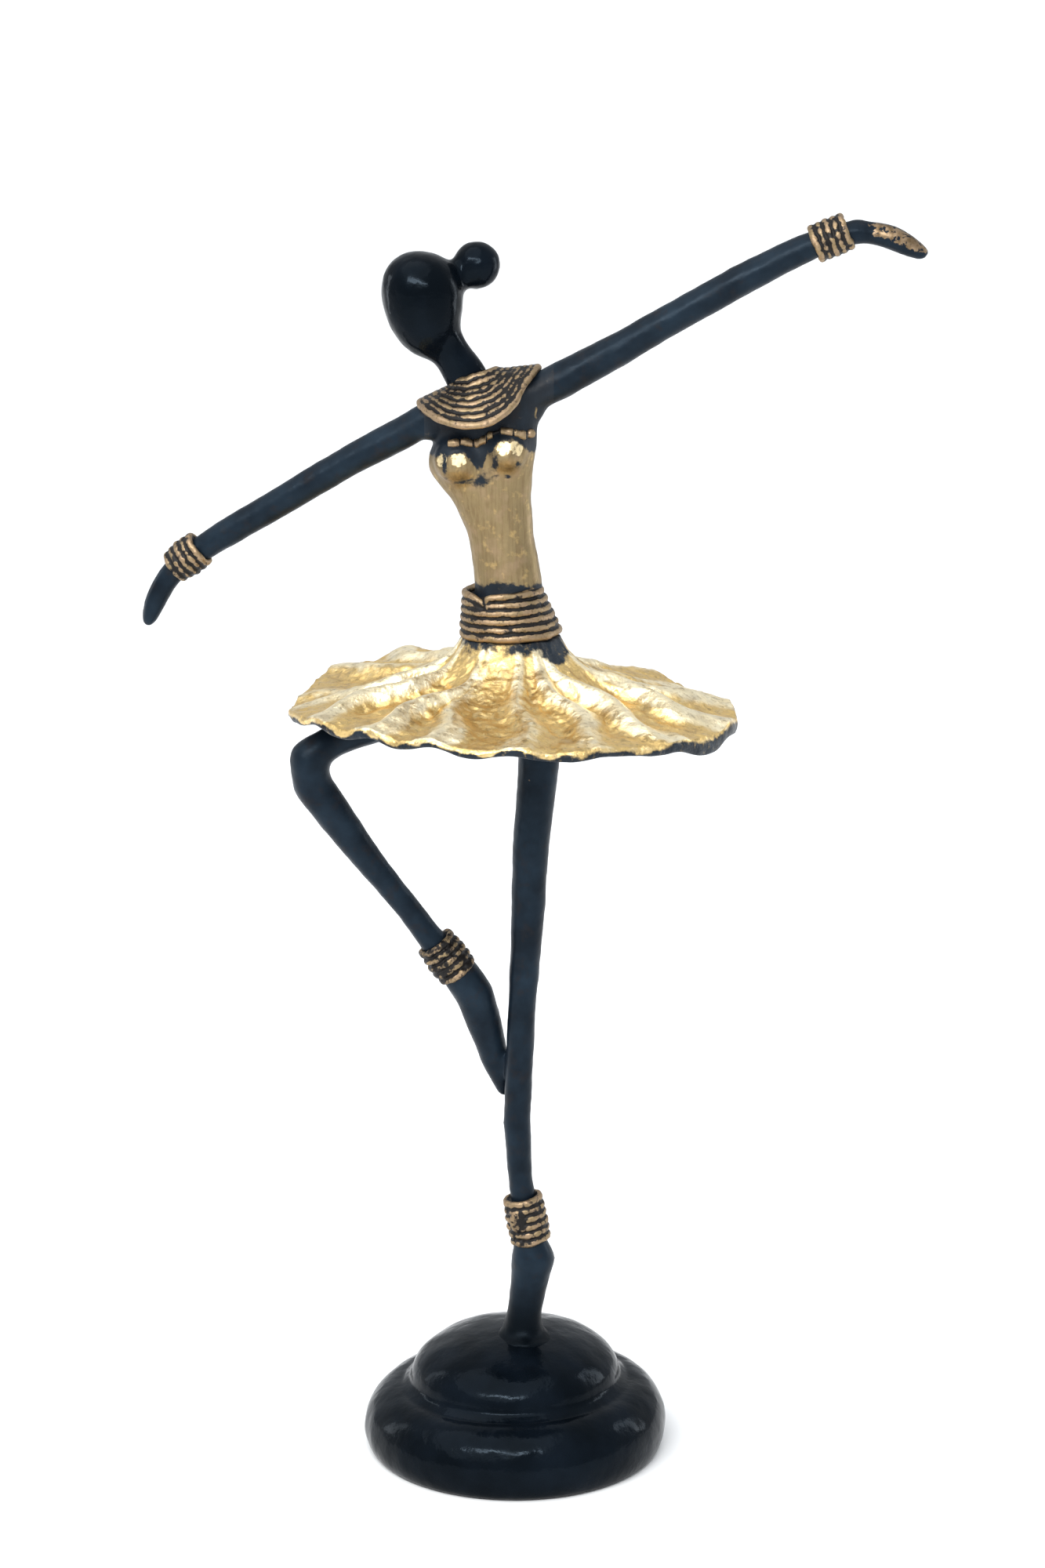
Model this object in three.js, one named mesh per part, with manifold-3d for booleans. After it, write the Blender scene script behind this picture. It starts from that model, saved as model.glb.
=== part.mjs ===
// A cast bronze dancer on one toe, on a domed base: arms spread, one knee raised to the side,
// a flaring skirt, and wound-thread bands at the neck, waist, wrists and ankles.
// Millimetres, +Z up, the dancer faces -Y. The lowered arm and the raised knee are on the -X side.
import * as THREE from "three";
import { mergeVertices } from "three/addons/utils/BufferGeometryUtils.js";
import Module from "manifold-3d";

const wasm = await Module();
wasm.setup();

// ---- Driving dimensions ----

const clearance = 0.3;
const overshoot = 1;

// Base: a hollow casting with a bulging lower tier and a domed upper tier.
const baseRadius = 52.6;
const baseFootInset = 4.1;
const lowerTierHeight = 21.4;
const lowerTierWidest = 9;
const upperTierRadius = 36.4;
const baseHeight = 40.9;
const domeSpring = 26;
const tierCreaseInset = 0.6;
const tierShoulderStep = 1.6;
const tierFullness = 2.3;
const domeFullness = 2.45;
const baseLean = 0.021;
const baseWall = 3.5;
const bossRadius = 8;
const bossDrop = 14;

// Stud that holds the figure to the base.
const studRadius = 3;
const studEmbed = 9;
const studTail = 3;
const nutAcrossFlats = 10;
const nutHeight = 5;
const washerRadius = 9;
const washerThickness = 1.6;

// Figure.
const soleX = 3;
const soleY = -4.6;
const legLength = 227.4;
const hipShift = 5.6;
const waistRise = 16;
const waistShift = 9.8;
const torsoHeight = 88;
const kneeReach = 76.9;
const kneeForward = 9.3;
const kneeDrop = 19.8;
const toeHeight = 85.5;
const toeShift = 6.2;
const toeSetback = 5.6;
const loweredArmLength = 100;
const raisedArmLength = 113;
const loweredHandLength = 27.5;
const raisedHandLength = 32;
const pegRadius = 1.8;
const pegLength = 5;

// Skirt.
const skirtRadius = 74;
const skirtNeckRadius = 16.3;
const skirtWall = 2.6;
const skirtFall = 23.2;
const skirtNeckRise = 3.6;
const foldCount = 13;
const foldHeight = 1.7;
const foldPhase = 2;
const skirtLean = 0.036;
const skirtLipWidth = 6;
const hipsDepth = 34;

// Bands wound from wax thread.
const threadPitch = 2.35;
const threadRelief = 0.55;
const beltHeight = 15;
const beltTopRadius = 13.7;
const beltBottomRadius = 17.3;
const ankletRadius = 7.1;
const standingAnkletLength = 16.5;
const raisedAnkletLength = 14;
const braceletRadius = 6.7;
const raisedBraceletRadius = 6.3;
const braceletLength = 12;
const braceletSlip = 0.8;
const bandTaper = 0.8;

// Collar and neckline.
const collarInnerRadius = 6.2;
const collarRadius = 22;
const collarThickness = 3.4;
const collarFrontFall = 14;
const collarSideFall = 2.5;
const collarBackFall = 9;
const trimHeight = 2.6;
const trimThickness = 1.3;

// Head.
const headHeight = 35;
const headRadius = 13.7;
const bunRadius = 7.7;
const bunStalkRadius = 4.6;

// ---- Facets ----

const limbSides = 12;
const bandSides = 16;
const bodySides = 18;
const roundSides = 30;
const foldSides = 5;
const footSteps = 2;
const tierSteps = 4;
const domeSteps = 7;
const skirtSteps = 5;
const collarUnderSteps = 2;

const up = new THREE.Vector3(0, 0, 1);
const rightward = new THREE.Vector3(1, 0, 0);
const backward = new THREE.Vector3(0, 1, 0);

// ---- Solids ----

function solidFrom(geometry) {
  const faces = geometry.index ? geometry.toNonIndexed() : geometry;
  const bare = new THREE.BufferGeometry();
  bare.setAttribute("position", faces.getAttribute("position"));
  const merged = mergeVertices(bare, 1e-4);
  const mesh = new wasm.Mesh({
    numProp: 3,
    vertProperties: merged.getAttribute("position").array,
    triVerts: new Uint32Array(merged.index.array),
  });
  return new wasm.Manifold(mesh);
}

function geometryFrom(solid) {
  const { vertProperties, triVerts } = solid.getMesh();
  const geometry = new THREE.BufferGeometry();
  geometry.setAttribute("position", new THREE.BufferAttribute(vertProperties, 3));
  geometry.setIndex(new THREE.BufferAttribute(triVerts, 1));
  geometry.computeVertexNormals();
  return geometry;
}

// A closed skin through sections of { centre, across, depth, halfWidth, halfDepth }.
function loft(sections, sides) {
  const points = [];
  const triangles = [];
  for (const { centre, across, depth, halfWidth, halfDepth } of sections) {
    for (let side = 0; side < sides; side++) {
      const angle = (2 * Math.PI * side) / sides;
      const point = centre.clone();
      point.addScaledVector(across, halfWidth * Math.cos(angle));
      point.addScaledVector(depth, halfDepth * Math.sin(angle));
      points.push(point);
    }
  }
  const last = sections.length - 1;
  for (let ring = 0; ring < last; ring++) {
    for (let side = 0; side < sides; side++) {
      const next = (side + 1) % sides;
      const [a, b] = [ring * sides + side, ring * sides + next];
      triangles.push(a, b, b + sides, a, b + sides, a + sides);
    }
  }
  const start = points.push(sections[0].centre) - 1;
  const end = points.push(sections[last].centre) - 1;
  for (let side = 0; side < sides; side++) {
    const next = (side + 1) % sides;
    triangles.push(start, next, side);
    triangles.push(end, last * sides + side, last * sides + next);
  }
  const geometry = new THREE.BufferGeometry().setFromPoints(points);
  geometry.setIndex(triangles);
  return solidFrom(geometry);
}

// Stations between two points: each row is [share of the way, bow, radius].
function stationsBetween(start, end, bowDirection, rows) {
  return rows.map(([share, bow, radius]) => {
    const centre = start.clone().lerp(end, share).addScaledVector(bowDirection, bow);
    return { centre, radius };
  });
}

// A round limb along its stations, made fatter all round by grow.
function limb(stations, grow = 0) {
  const path = new THREE.CatmullRomCurve3(stations.map(({ centre }) => centre));
  const steps = stations.length - 1;
  const sections = [];
  for (let step = 0; step <= steps; step++) {
    const share = step / steps;
    const tangent = path.getTangent(share);
    const across = backward.clone().cross(tangent).normalize();
    const depth = tangent.clone().cross(across);
    const centre = stations[step].centre.clone();
    const radius = stations[step].radius + grow;
    sections.push({ centre, across, depth, halfWidth: radius, halfDepth: radius });
  }
  sections[0].centre.addScaledVector(path.getTangent(0), -grow);
  sections[steps].centre.addScaledVector(path.getTangent(1), grow);
  return loft(sections, limbSides);
}

// A profile of [radius, height] points turned about +Z, with each point moved by reshape.
function turned(profile, sides, reshape = (point) => point) {
  const outline = profile.map(([radius, height]) => new THREE.Vector2(radius, height));
  const geometry = new THREE.LatheGeometry(outline, sides);
  geometry.rotateX(Math.PI / 2);
  const position = geometry.getAttribute("position");
  for (let index = 0; index < position.count; index++) {
    const point = reshape(new THREE.Vector3().fromBufferAttribute(position, index));
    position.setXYZ(index, point.x, point.y, point.z);
  }
  return solidFrom(geometry);
}

// A round bar between two points.
function bar(from, to, radius) {
  const axis = to.clone().sub(from);
  const geometry = new THREE.CylinderGeometry(radius, radius, axis.length(), limbSides);
  const turn = new THREE.Quaternion().setFromUnitVectors(backward, axis.normalize());
  geometry.applyQuaternion(turn);
  const middle = from.clone().lerp(to, 0.5);
  geometry.translate(middle.x, middle.y, middle.z);
  return solidFrom(geometry);
}

// Cuts a solid across at a point: the near part gets a peg that the far part's socket takes.
function cutWithPeg(solid, point, direction, radius = pegRadius, length = pegLength) {
  const along = direction.clone().normalize();
  const distance = point.dot(along);
  const near = solid.trimByPlane(along.clone().negate().toArray(), clearance / 2 - distance);
  const far = solid.trimByPlane(along.toArray(), distance + clearance / 2);
  const root = point.clone().addScaledVector(along, -length);
  const tip = point.clone().addScaledVector(along, length);
  const socketEnd = tip.clone().addScaledVector(along, clearance);
  return {
    near: near.add(bar(root, tip, radius)),
    far: far.subtract(bar(root, socketEnd, radius + clearance)),
  };
}

// A barrel of wound threads, [start, middle, end] radii, centred on a point along an axis.
function woundBand(centre, axis, length, radii) {
  const [first, middle, last] = radii;
  const turns = Math.max(2, Math.round(length / threadPitch));
  const profile = [[0, -length / 2]];
  for (let step = 0; step <= 2 * turns; step++) {
    const share = step / (2 * turns);
    const ends = THREE.MathUtils.lerp(first, last, share);
    const swell = (middle - (first + last) / 2) * 4 * share * (1 - share);
    const valley = step % 2 === 0 ? threadRelief : 0;
    profile.push([ends + swell - valley, length * (share - 0.5)]);
  }
  profile.push([0, length / 2]);
  const turn = new THREE.Quaternion().setFromUnitVectors(up, axis.clone().normalize());
  return turned(profile, bandSides, (point) => point.applyQuaternion(turn).add(centre));
}

// Points of one quarter of a rounded outline, from the side round to the top.
function roundedQuarter(centreRadius, centreHeight, width, height, fullness, steps) {
  const points = [];
  for (let step = 0; step <= steps; step++) {
    const angle = (Math.PI / 2) * (step / steps);
    const outward = width * Math.cos(angle) ** (2 / fullness);
    const upward = height * Math.sin(angle) ** (2 / fullness);
    points.push([centreRadius + outward, centreHeight + upward]);
  }
  return points;
}

// ---- Base ----

// The outline from the foot ring up to the middle of the dome, drawn in by inset.
function baseOutline(inset) {
  const shoulderRadius = upperTierRadius + tierShoulderStep;
  const tierWidth = baseRadius - shoulderRadius - inset;
  const tierHeight = lowerTierHeight - lowerTierWidest - inset;
  const foot = [];
  for (let step = 0; step < footSteps; step++) {
    const share = step / footSteps;
    const radius = baseRadius - baseFootInset * (1 - Math.sqrt(1 - (1 - share) ** 2));
    foot.push([radius - inset, lowerTierWidest * share]);
  }
  const tier = roundedQuarter(shoulderRadius, lowerTierWidest, tierWidth, tierHeight, tierFullness,
    tierSteps);
  const domeRadius = upperTierRadius - inset;
  const domeRise = baseHeight - domeSpring - inset;
  const dome = roundedQuarter(0, domeSpring, domeRadius, domeRise, domeFullness, domeSteps);
  dome[dome.length - 1][0] = 0;
  const crease = [domeRadius - tierCreaseInset, lowerTierHeight - inset + clearance / 3];
  return [...foot, ...tier, crease, ...dome];
}

const sole = new THREE.Vector3(soleX, soleY, baseHeight);
const studAxis = new THREE.Vector3(soleX, soleY, 0);
const bossUnderside = baseHeight - baseWall - bossDrop;
const atStud = (height) => studAxis.clone().setZ(height);

// The casting runs a little higher on its +X side, above a flat foot.
function leanBase(point) {
  point.z += baseLean * point.x * THREE.MathUtils.clamp(point.z / lowerTierWidest, 0, 1);
  return point;
}

const baseBody = turned([[0, 0], ...baseOutline(0)], roundSides, leanBase);
const baseGuard = turned([[0, 0], ...baseOutline(-clearance)], roundSides, leanBase);
const hollowOutline = baseOutline(baseWall);
const hollow = turned(
  [[0, -overshoot], [hollowOutline[0][0], -overshoot], ...hollowOutline],
  roundSides,
  leanBase,
);
const boss = bar(atStud(bossUnderside), atStud(baseHeight - baseWall / 2), bossRadius);
const studHole = bar(atStud(0), atStud(baseHeight + overshoot), studRadius + clearance);
const base = baseBody.subtract(hollow).add(boss).subtract(studHole);

const washerTop = bossUnderside - clearance;
const nutTop = washerTop - washerThickness - clearance;
const studBottom = nutTop - nutHeight - studTail;
const studTop = baseHeight + studEmbed;
const stud = bar(atStud(studBottom), atStud(studTop), studRadius);
const washer = bar(atStud(washerTop - washerThickness), atStud(washerTop), washerRadius)
  .subtract(bar(atStud(0), atStud(baseHeight), studRadius + clearance));
const nutGeometry = new THREE.CylinderGeometry(
  nutAcrossFlats / Math.sqrt(3),
  nutAcrossFlats / Math.sqrt(3),
  nutHeight,
  6,
);
nutGeometry.rotateX(Math.PI / 2);
nutGeometry.translate(soleX, soleY, nutTop - nutHeight / 2);
const nut = solidFrom(nutGeometry)
  .subtract(bar(atStud(0), atStud(baseHeight), studRadius + clearance));

// ---- Landmarks of the figure ----

const hip = sole.clone().add(new THREE.Vector3(hipShift, -soleY, legLength));
const waist = new THREE.Vector3(hip.x - waistShift, 0, hip.z + waistRise);
const knee = new THREE.Vector3(hip.x - kneeReach, -kneeForward, hip.z - kneeDrop);
const toeTip = new THREE.Vector3(sole.x - toeShift, toeSetback, baseHeight + toeHeight);
const onTorso = (x, y, share) => waist.clone().add(new THREE.Vector3(x, y, torsoHeight * share));

// ---- Torso ----

// [share of the height, sideways shift, half-width, half-depth, turn and tilt in degrees].
// The lowest rows are the waist, which fits inside the skirt's neck and the belt.
const torsoRows = [
  [0.0, 0.0, skirtNeckRadius - 3.1, skirtNeckRadius - 4.5, 0, 0],
  [0.07, -0.2, skirtNeckRadius - 3.1, skirtNeckRadius - 4.7, 0, 0],
  [0.15, -0.6, beltTopRadius - 1.9, beltTopRadius - 3.7, 0, 0],
  [0.24, -0.9, beltTopRadius - 2.5, beltTopRadius - 4.9, 2, 0],
  [0.32, -1.7, 10.8, 8.3, 4, 0],
  [0.43, -3.4, 10.8, 8.1, 6, 0],
  [0.56, -6.3, 13.1, 8.6, 9, 2],
  [0.63, -8.6, 15.8, 9.0, 10, 3],
  [0.68, -9.8, 17.6, 9.3, 11, 4],
  [0.75, -9.3, 18.3, 9.3, 12, 6],
  [0.82, -8.2, 17.2, 9.0, 13, 9],
  [0.886, -9.6, 18.6, 8.2, 14, 13],
  [0.943, -10.6, 18.2, 7.2, 15, 15],
  [0.985, -11.6, 14.0, 5.8, 15, 15],
  [1.01, -12.4, 8.0, 4.2, 15, 15],
];

function torsoBody(grow = 0) {
  const sections = torsoRows.map(([share, shift, halfWidth, halfDepth, turn, tilt]) => {
    const swing = new THREE.Quaternion();
    swing.setFromAxisAngle(up, THREE.MathUtils.degToRad(-turn));
    const lean = new THREE.Quaternion();
    lean.setFromAxisAngle(backward, THREE.MathUtils.degToRad(-tilt));
    return {
      centre: onTorso(shift, 0, share),
      across: rightward.clone().applyQuaternion(lean).applyQuaternion(swing),
      depth: backward.clone().applyQuaternion(swing),
      halfWidth: halfWidth + grow,
      halfDepth: halfDepth + grow,
    };
  });
  sections[0].centre.z -= grow;
  sections[sections.length - 1].centre.z += grow;
  return loft(sections, bodySides).add(breast(-17.3, -4.6, 0.715, 8.2 + grow))
    .add(breast(-1.2, -6.4, 0.755, 7.6 + grow));
}

function breast(x, y, share, radius) {
  const geometry = new THREE.SphereGeometry(radius, limbSides, limbSides / 2);
  const centre = onTorso(x, y, share);
  geometry.translate(centre.x, centre.y, centre.z);
  return solidFrom(geometry);
}

const torsoGuard = torsoBody(clearance);

// ---- Standing leg ----

const standingStations = stationsBetween(sole, hip, rightward, [
  [-0.03, -0.2, 8.2],
  [0.012, 0.0, 6.9],
  [0.041, 0.1, 5.8],
  [0.096, 1.6, 6.4],
  [0.128, 2.7, 7.6],
  [0.155, 1.4, ankletRadius - 1.5],
  [0.19, 0.0, ankletRadius - 2.9],
  [0.253, -2.6, ankletRadius - 3.1],
  [0.341, -4.2, 4.55],
  [0.43, -4.0, 4.65],
  [0.526, -3.4, 4.6],
  [0.648, -2.4, 5.45],
  [0.769, -1.9, 6.1],
  [0.88, -0.1, 6.7],
  [1.0, 0.0, 8.2],
]);
const standingAnkle = standingStations[6].centre;
const standingLeg = limb(standingStations).subtract(baseGuard).subtract(
  bar(atStud(0), atStud(studTop + clearance), studRadius + clearance),
);
const standingLegGuard = limb(standingStations, clearance);
const ankleLean = new THREE.Vector3(-0.2, 0, 1);
const standing = cutWithPeg(standingLeg, standingAnkle, ankleLean);

// ---- Raised leg ----

const thighRoot = new THREE.Vector3(hip.x - 16.6, -3, hip.z + 2);
const thighStations = stationsBetween(thighRoot, knee, up, [
  [0.0, 0.0, 8.6],
  [0.28, 1.2, 7.2],
  [0.61, 2.4, 5.8],
  [0.83, 2.5, 5.4],
]);
const shinStations = stationsBetween(knee, toeTip, rightward, [
  [0.0, -0.6, 6.6],
  [0.08, -4.3, 6.7],
  [0.18, -2.8, 5.9],
  [0.27, -1.0, 5.0],
  [0.36, 1.3, 4.3],
  [0.44, 3.4, ankletRadius - 3.0],
  [0.513, 4.9, ankletRadius - 2.8],
  [0.585, 6.7, ankletRadius - 1.9],
  [0.642, 8.5, ankletRadius - 0.7],
  [0.7, 9.1, ankletRadius - 0.6],
  [0.775, 7.0, 6.0],
  [0.898, 3.2, 4.6],
  [0.96, 1.3, 3.2],
  [1.0, 0.0, 1.9],
]);
const raisedAnkle = shinStations[7].centre;
const shinDirection = raisedAnkle.clone().sub(shinStations[5].centre).normalize();
const raisedLeg = limb([...thighStations, ...shinStations]).subtract(standingLegGuard);
const kneeTurn = new THREE.Vector3(-0.35, 0, -1);
const kneeParts = cutWithPeg(raisedLeg, knee, kneeTurn);
const raised = cutWithPeg(kneeParts.far, raisedAnkle, shinDirection);
const thighGuard = limb([...thighStations, shinStations[0]], clearance);

// ---- Hips and skirt ----

const hipsCentre = new THREE.Vector3(waist.x, waist.y, 0);
const hipsProfile = [
  [0, waist.z - hipsDepth],
  [skirtNeckRadius - 8.3, waist.z - 0.97 * hipsDepth],
  [skirtNeckRadius - 2.3, waist.z - 0.79 * hipsDepth],
  [skirtNeckRadius - 0.3, waist.z - 0.5 * hipsDepth],
  [skirtNeckRadius - 1.3, waist.z - 0.24 * hipsDepth],
  [skirtNeckRadius - 3.8, waist.z - clearance],
  [0, waist.z - clearance],
];
const hipsBlock = turned(hipsProfile, bodySides, (point) => point.add(hipsCentre));
const waistPegRadius = 2 * pegRadius;
const waistPegTop = onTorso(-0.3, 0, 0.15);
const waistPegRoot = waist.clone().setZ(waist.z - pegLength);
const hips = hipsBlock.add(bar(waistPegRoot, waistPegTop, waistPegRadius))
  .subtract(standingLegGuard).subtract(thighGuard);

// Height of the skirt's upper face over its rim, from the neck outwards.
function skirtRise(radius) {
  const share = (skirtRadius - radius) / (skirtRadius - skirtNeckRadius);
  return skirtFall * (0.54 * share + 0.46 * share ** 9);
}

// Folds grow towards the rim, and no two are quite alike.
function skirtFold(point) {
  const radius = Math.hypot(point.x, point.y);
  const angle = Math.atan2(point.x, -point.y);
  const growth = THREE.MathUtils.smoothstep(radius, skirtNeckRadius, skirtRadius);
  const even = Math.cos(foldCount * (angle - THREE.MathUtils.degToRad(foldPhase)));
  const uneven = Math.sin(5 * angle + 1) + Math.cos(3 * angle);
  point.z += growth * (foldHeight * (even + 0.3 * uneven) - skirtLean * point.x);
  return point;
}

const skirtRimHeight = waist.z + skirtNeckRise - skirtFall;
const skirtTop = [];
const skirtUnder = [];
for (let step = 0; step <= skirtSteps; step++) {
  const radius = skirtNeckRadius + (skirtRadius - skirtNeckRadius) * (step / skirtSteps) ** 1.6;
  skirtTop.push([radius, skirtRimHeight + skirtRise(radius)]);
}
for (let step = skirtSteps; step > 0; step--) {
  const radius = skirtTop[step][0] - 0.4;
  const slope = skirtRise(radius - 0.5) - skirtRise(radius + 0.5);
  const wall = skirtWall * Math.hypot(1, slope);
  skirtUnder.push([radius, skirtTop[step][1] - wall]);
}
const neckTop = skirtTop[0][1];
const skirtBore = skirtNeckRadius - skirtLipWidth;
const skirtProfile = [
  ...skirtTop,
  ...skirtUnder,
  [skirtNeckRadius - skirtWall, waist.z],
  [skirtBore, waist.z],
  [skirtBore, neckTop],
  skirtTop[0],
].reverse();
const skirtSides = foldCount * foldSides;
const skirt = turned(skirtProfile, skirtSides, (point) => skirtFold(point).add(hipsCentre))
  .subtract(torsoGuard).subtract(limb([...thighStations, ...shinStations.slice(0, 2)], clearance));

// ---- Belt ----

const beltBottom = neckTop + clearance;
const beltCentre = new THREE.Vector3(waist.x - 0.5, 0, beltBottom + beltHeight / 2);
const beltRadii = [beltBottomRadius, (beltTopRadius + beltBottomRadius) / 2, beltTopRadius];
const beltLean = new THREE.Vector3(-0.05, 0, 1);
const belt = woundBand(beltCentre, beltLean, beltHeight, beltRadii)
  .subtract(torsoGuard)
  .trimByPlane(up.toArray(), beltBottom);

// ---- Arms ----

function reach(start, x, y, z, length) {
  return start.clone().addScaledVector(new THREE.Vector3(x, y, z).normalize(), length);
}

const loweredShoulder = onTorso(-22.6, 0.5, 0.892);
const loweredWrist = reach(loweredShoulder, -85.5, 12.1, -50.8, loweredArmLength);
const loweredTip = reach(loweredWrist, -14.7, 1.4, -23.4, loweredHandLength);
const loweredStations = [
  ...stationsBetween(loweredShoulder, loweredWrist, up, [
    [0.0, 0.0, 5.4],
    [0.14, 0.0, 5.3],
    [0.35, 1.1, 5.0],
    [0.6, 0.7, 4.75],
    [0.85, 0.6, braceletRadius - 2.1],
    [1.0, 0.0, braceletRadius - 2.7],
  ]),
  ...stationsBetween(loweredWrist, loweredTip, rightward, [
    [0.265, -2.4, braceletRadius - 3.0],
    [0.43, -2.6, 3.6],
    [0.63, -2.0, 3.5],
    [0.84, -0.9, 2.7],
    [1.0, 0.0, 1.4],
  ]),
];

const raisedShoulder = onTorso(3.0, -1.5, 0.932);
const raisedWrist = reach(raisedShoulder, 99.5, -6.5, 53.1, raisedArmLength);
const raisedTip = reach(raisedWrist, 31.7, -1, -5.3, raisedHandLength);
const raisedArmStations = [
  ...stationsBetween(raisedShoulder, raisedWrist, up, [
    [0.0, 0.0, 5.6],
    [0.13, -0.3, 6.0],
    [0.34, -0.3, 5.3],
    [0.46, 0.6, 5.0],
    [0.72, 1.4, 5.0],
    [0.9, 1.1, raisedBraceletRadius - 1.8],
    [1.0, 0.0, raisedBraceletRadius - 2.3],
  ]),
  ...stationsBetween(raisedWrist, raisedTip, up, [
    [0.29, 3.8, raisedBraceletRadius - 2.5],
    [0.41, 4.1, 3.4],
    [0.57, 4.0, 3.7],
    [0.73, 2.9, 3.6],
    [0.89, 1.2, 2.7],
    [1.0, 0.0, 1.4],
  ]),
];

const shoulderPegRadius = 1.2 * pegRadius;

// An arm stops short of the torso, with a shoulder peg; it is cut again at the wrist.
function armParts(stations, wrist, shoulder, wristDirection) {
  const outer = limb(stations).subtract(torsoGuard);
  const pegEnd = stations[1].centre.clone().lerp(stations[2].centre, 0.3);
  const peg = bar(shoulder, pegEnd, shoulderPegRadius);
  const socket = bar(reach(shoulder, ...shoulder.clone().sub(pegEnd), clearance),
    pegEnd, shoulderPegRadius + clearance);
  const { near, far } = cutWithPeg(outer, wrist, wristDirection);
  return { arm: near.add(peg), hand: far, socket };
}

const loweredReach = loweredTip.clone().sub(loweredShoulder);
const loweredArm = armParts(loweredStations, loweredWrist, loweredShoulder, loweredReach);
const raisedReach = raisedTip.clone().sub(raisedShoulder);
const raisedArm = armParts(raisedArmStations, raisedWrist, raisedShoulder, raisedReach);

// ---- Neck, head and bun ----

const neckRoot = onTorso(-12.6, 0, 0.985);
const headBase = neckRoot.clone().add(new THREE.Vector3(-10.8, -0.6, 13.2));
const chin = headBase.clone().add(new THREE.Vector3(-0.4, -0.6, -4.8));
const crown = chin.clone().add(new THREE.Vector3(-5.6, 0, headHeight));
const neckStations = stationsBetween(neckRoot, headBase, rightward, [
  [-0.35, 0.0, 6.0],
  [0.0, 1.2, 6.1],
  [0.4, 1.7, 5.9],
  [0.75, 1.7, 6.2],
  [1.1, 2.0, 7.2],
]);
const headRows = [
  [0.0, 0.4, 0.1],
  [0.04, 0.3, 0.28],
  [0.13, -0.4, 0.54],
  [0.26, -1.1, 0.77],
  [0.42, -1.7, 0.92],
  [0.6, -1.5, 0.99],
  [0.77, -1.3, 0.93],
  [0.91, -1.3, 0.72],
  [1.0, -0.8, 0.28],
].map(([share, bow, girth]) => [share, bow, girth * headRadius]);
const headStations = stationsBetween(chin, crown, rightward, headRows);
const headGuard = limb(headStations, clearance);
const neckPegTip = headBase.clone().lerp(headStations[5].centre, 0.35);
const neckPegRoot = neckStations[2].centre;
const torsoPegTip = onTorso(-11.8, 0, 0.9);
const neckPegRadius = 1.4 * pegRadius;
const neckBody = limb(neckStations).subtract(torsoGuard).subtract(headGuard);
const neckPegs = bar(neckPegRoot, neckPegTip, neckPegRadius)
  .add(bar(torsoPegTip, neckStations[2].centre, neckPegRadius));
const neck = neckBody.add(neckPegs);
const neckGuard = limb(neckStations, clearance)
  .add(bar(neckPegRoot, reach(neckPegTip, -1, 0, 3, clearance), neckPegRadius + clearance))
  .add(bar(reach(torsoPegTip, 0, 0, -1, clearance), neckStations[2].centre,
    neckPegRadius + clearance));

const bunCentre = headStations[5].centre.clone().add(new THREE.Vector3(17.4, 5, 9.4));
const bunGeometry = new THREE.SphereGeometry(bunRadius, limbSides, limbSides);
bunGeometry.rotateX(Math.PI / 2);
bunGeometry.translate(bunCentre.x, bunCentre.y, bunCentre.z);
const bunPegEnd = bunCentre.clone().lerp(headStations[5].centre, 0.72);
const bunStalk = bar(bunCentre, bunCentre.clone().lerp(headStations[5].centre, 0.5), bunStalkRadius);
const bun = solidFrom(bunGeometry).add(bunStalk).subtract(headGuard)
  .add(bar(bunCentre, bunPegEnd, pegRadius));
const bunSocket = bar(bunCentre, reach(bunPegEnd, -1, 0, -1, clearance), pegRadius + clearance);
const head = limb(headStations).subtract(neckGuard).subtract(bunSocket);

const torso = torsoBody().subtract(neckGuard)
  .subtract(loweredArm.socket).subtract(raisedArm.socket)
  .subtract(bar(waistPegRoot, reach(waistPegTop, 0, 0, 1, clearance),
    waistPegRadius + clearance));

// ---- Collar and neckline trim ----

const collarSeat = onTorso(-12.2, -1.4, 1.026);
const collarTilt = THREE.MathUtils.degToRad(-16.5);

// The collar drapes lowest in front, less at the back and least over the shoulders.
function collarDrape(point) {
  const radius = Math.hypot(point.x, point.y);
  const share = Math.max(0, (radius - collarInnerRadius) / (collarRadius - collarInnerRadius));
  const forward = -point.y / radius;
  const endFall = forward > 0 ? collarFrontFall : collarBackFall;
  const fall = THREE.MathUtils.lerp(collarSideFall, endFall, forward ** 2);
  point.z -= fall * share ** 1.25;
  return point.applyAxisAngle(backward, collarTilt).add(collarSeat);
}

const collarTurns = Math.round((collarRadius - collarInnerRadius) / threadPitch);
const collarProfile = [];
for (let step = 0; step <= 2 * collarTurns; step++) {
  const share = step / (2 * collarTurns);
  const radius = THREE.MathUtils.lerp(collarInnerRadius, collarRadius, share);
  collarProfile.push([radius, step % 2 === 0 ? -threadRelief : 0]);
}
for (let step = collarUnderSteps; step >= 0; step--) {
  const share = step / collarUnderSteps;
  const radius = THREE.MathUtils.lerp(collarInnerRadius, collarRadius, share);
  collarProfile.push([radius, -collarThickness]);
}
collarProfile.push(collarProfile[0]);
collarProfile.reverse();
const armGuards = limb(loweredStations, clearance).add(limb(raisedArmStations, clearance));
const collar = turned(collarProfile, roundSides, collarDrape)
  .subtract(torsoGuard).subtract(neckGuard).subtract(armGuards).subtract(headGuard);

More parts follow.
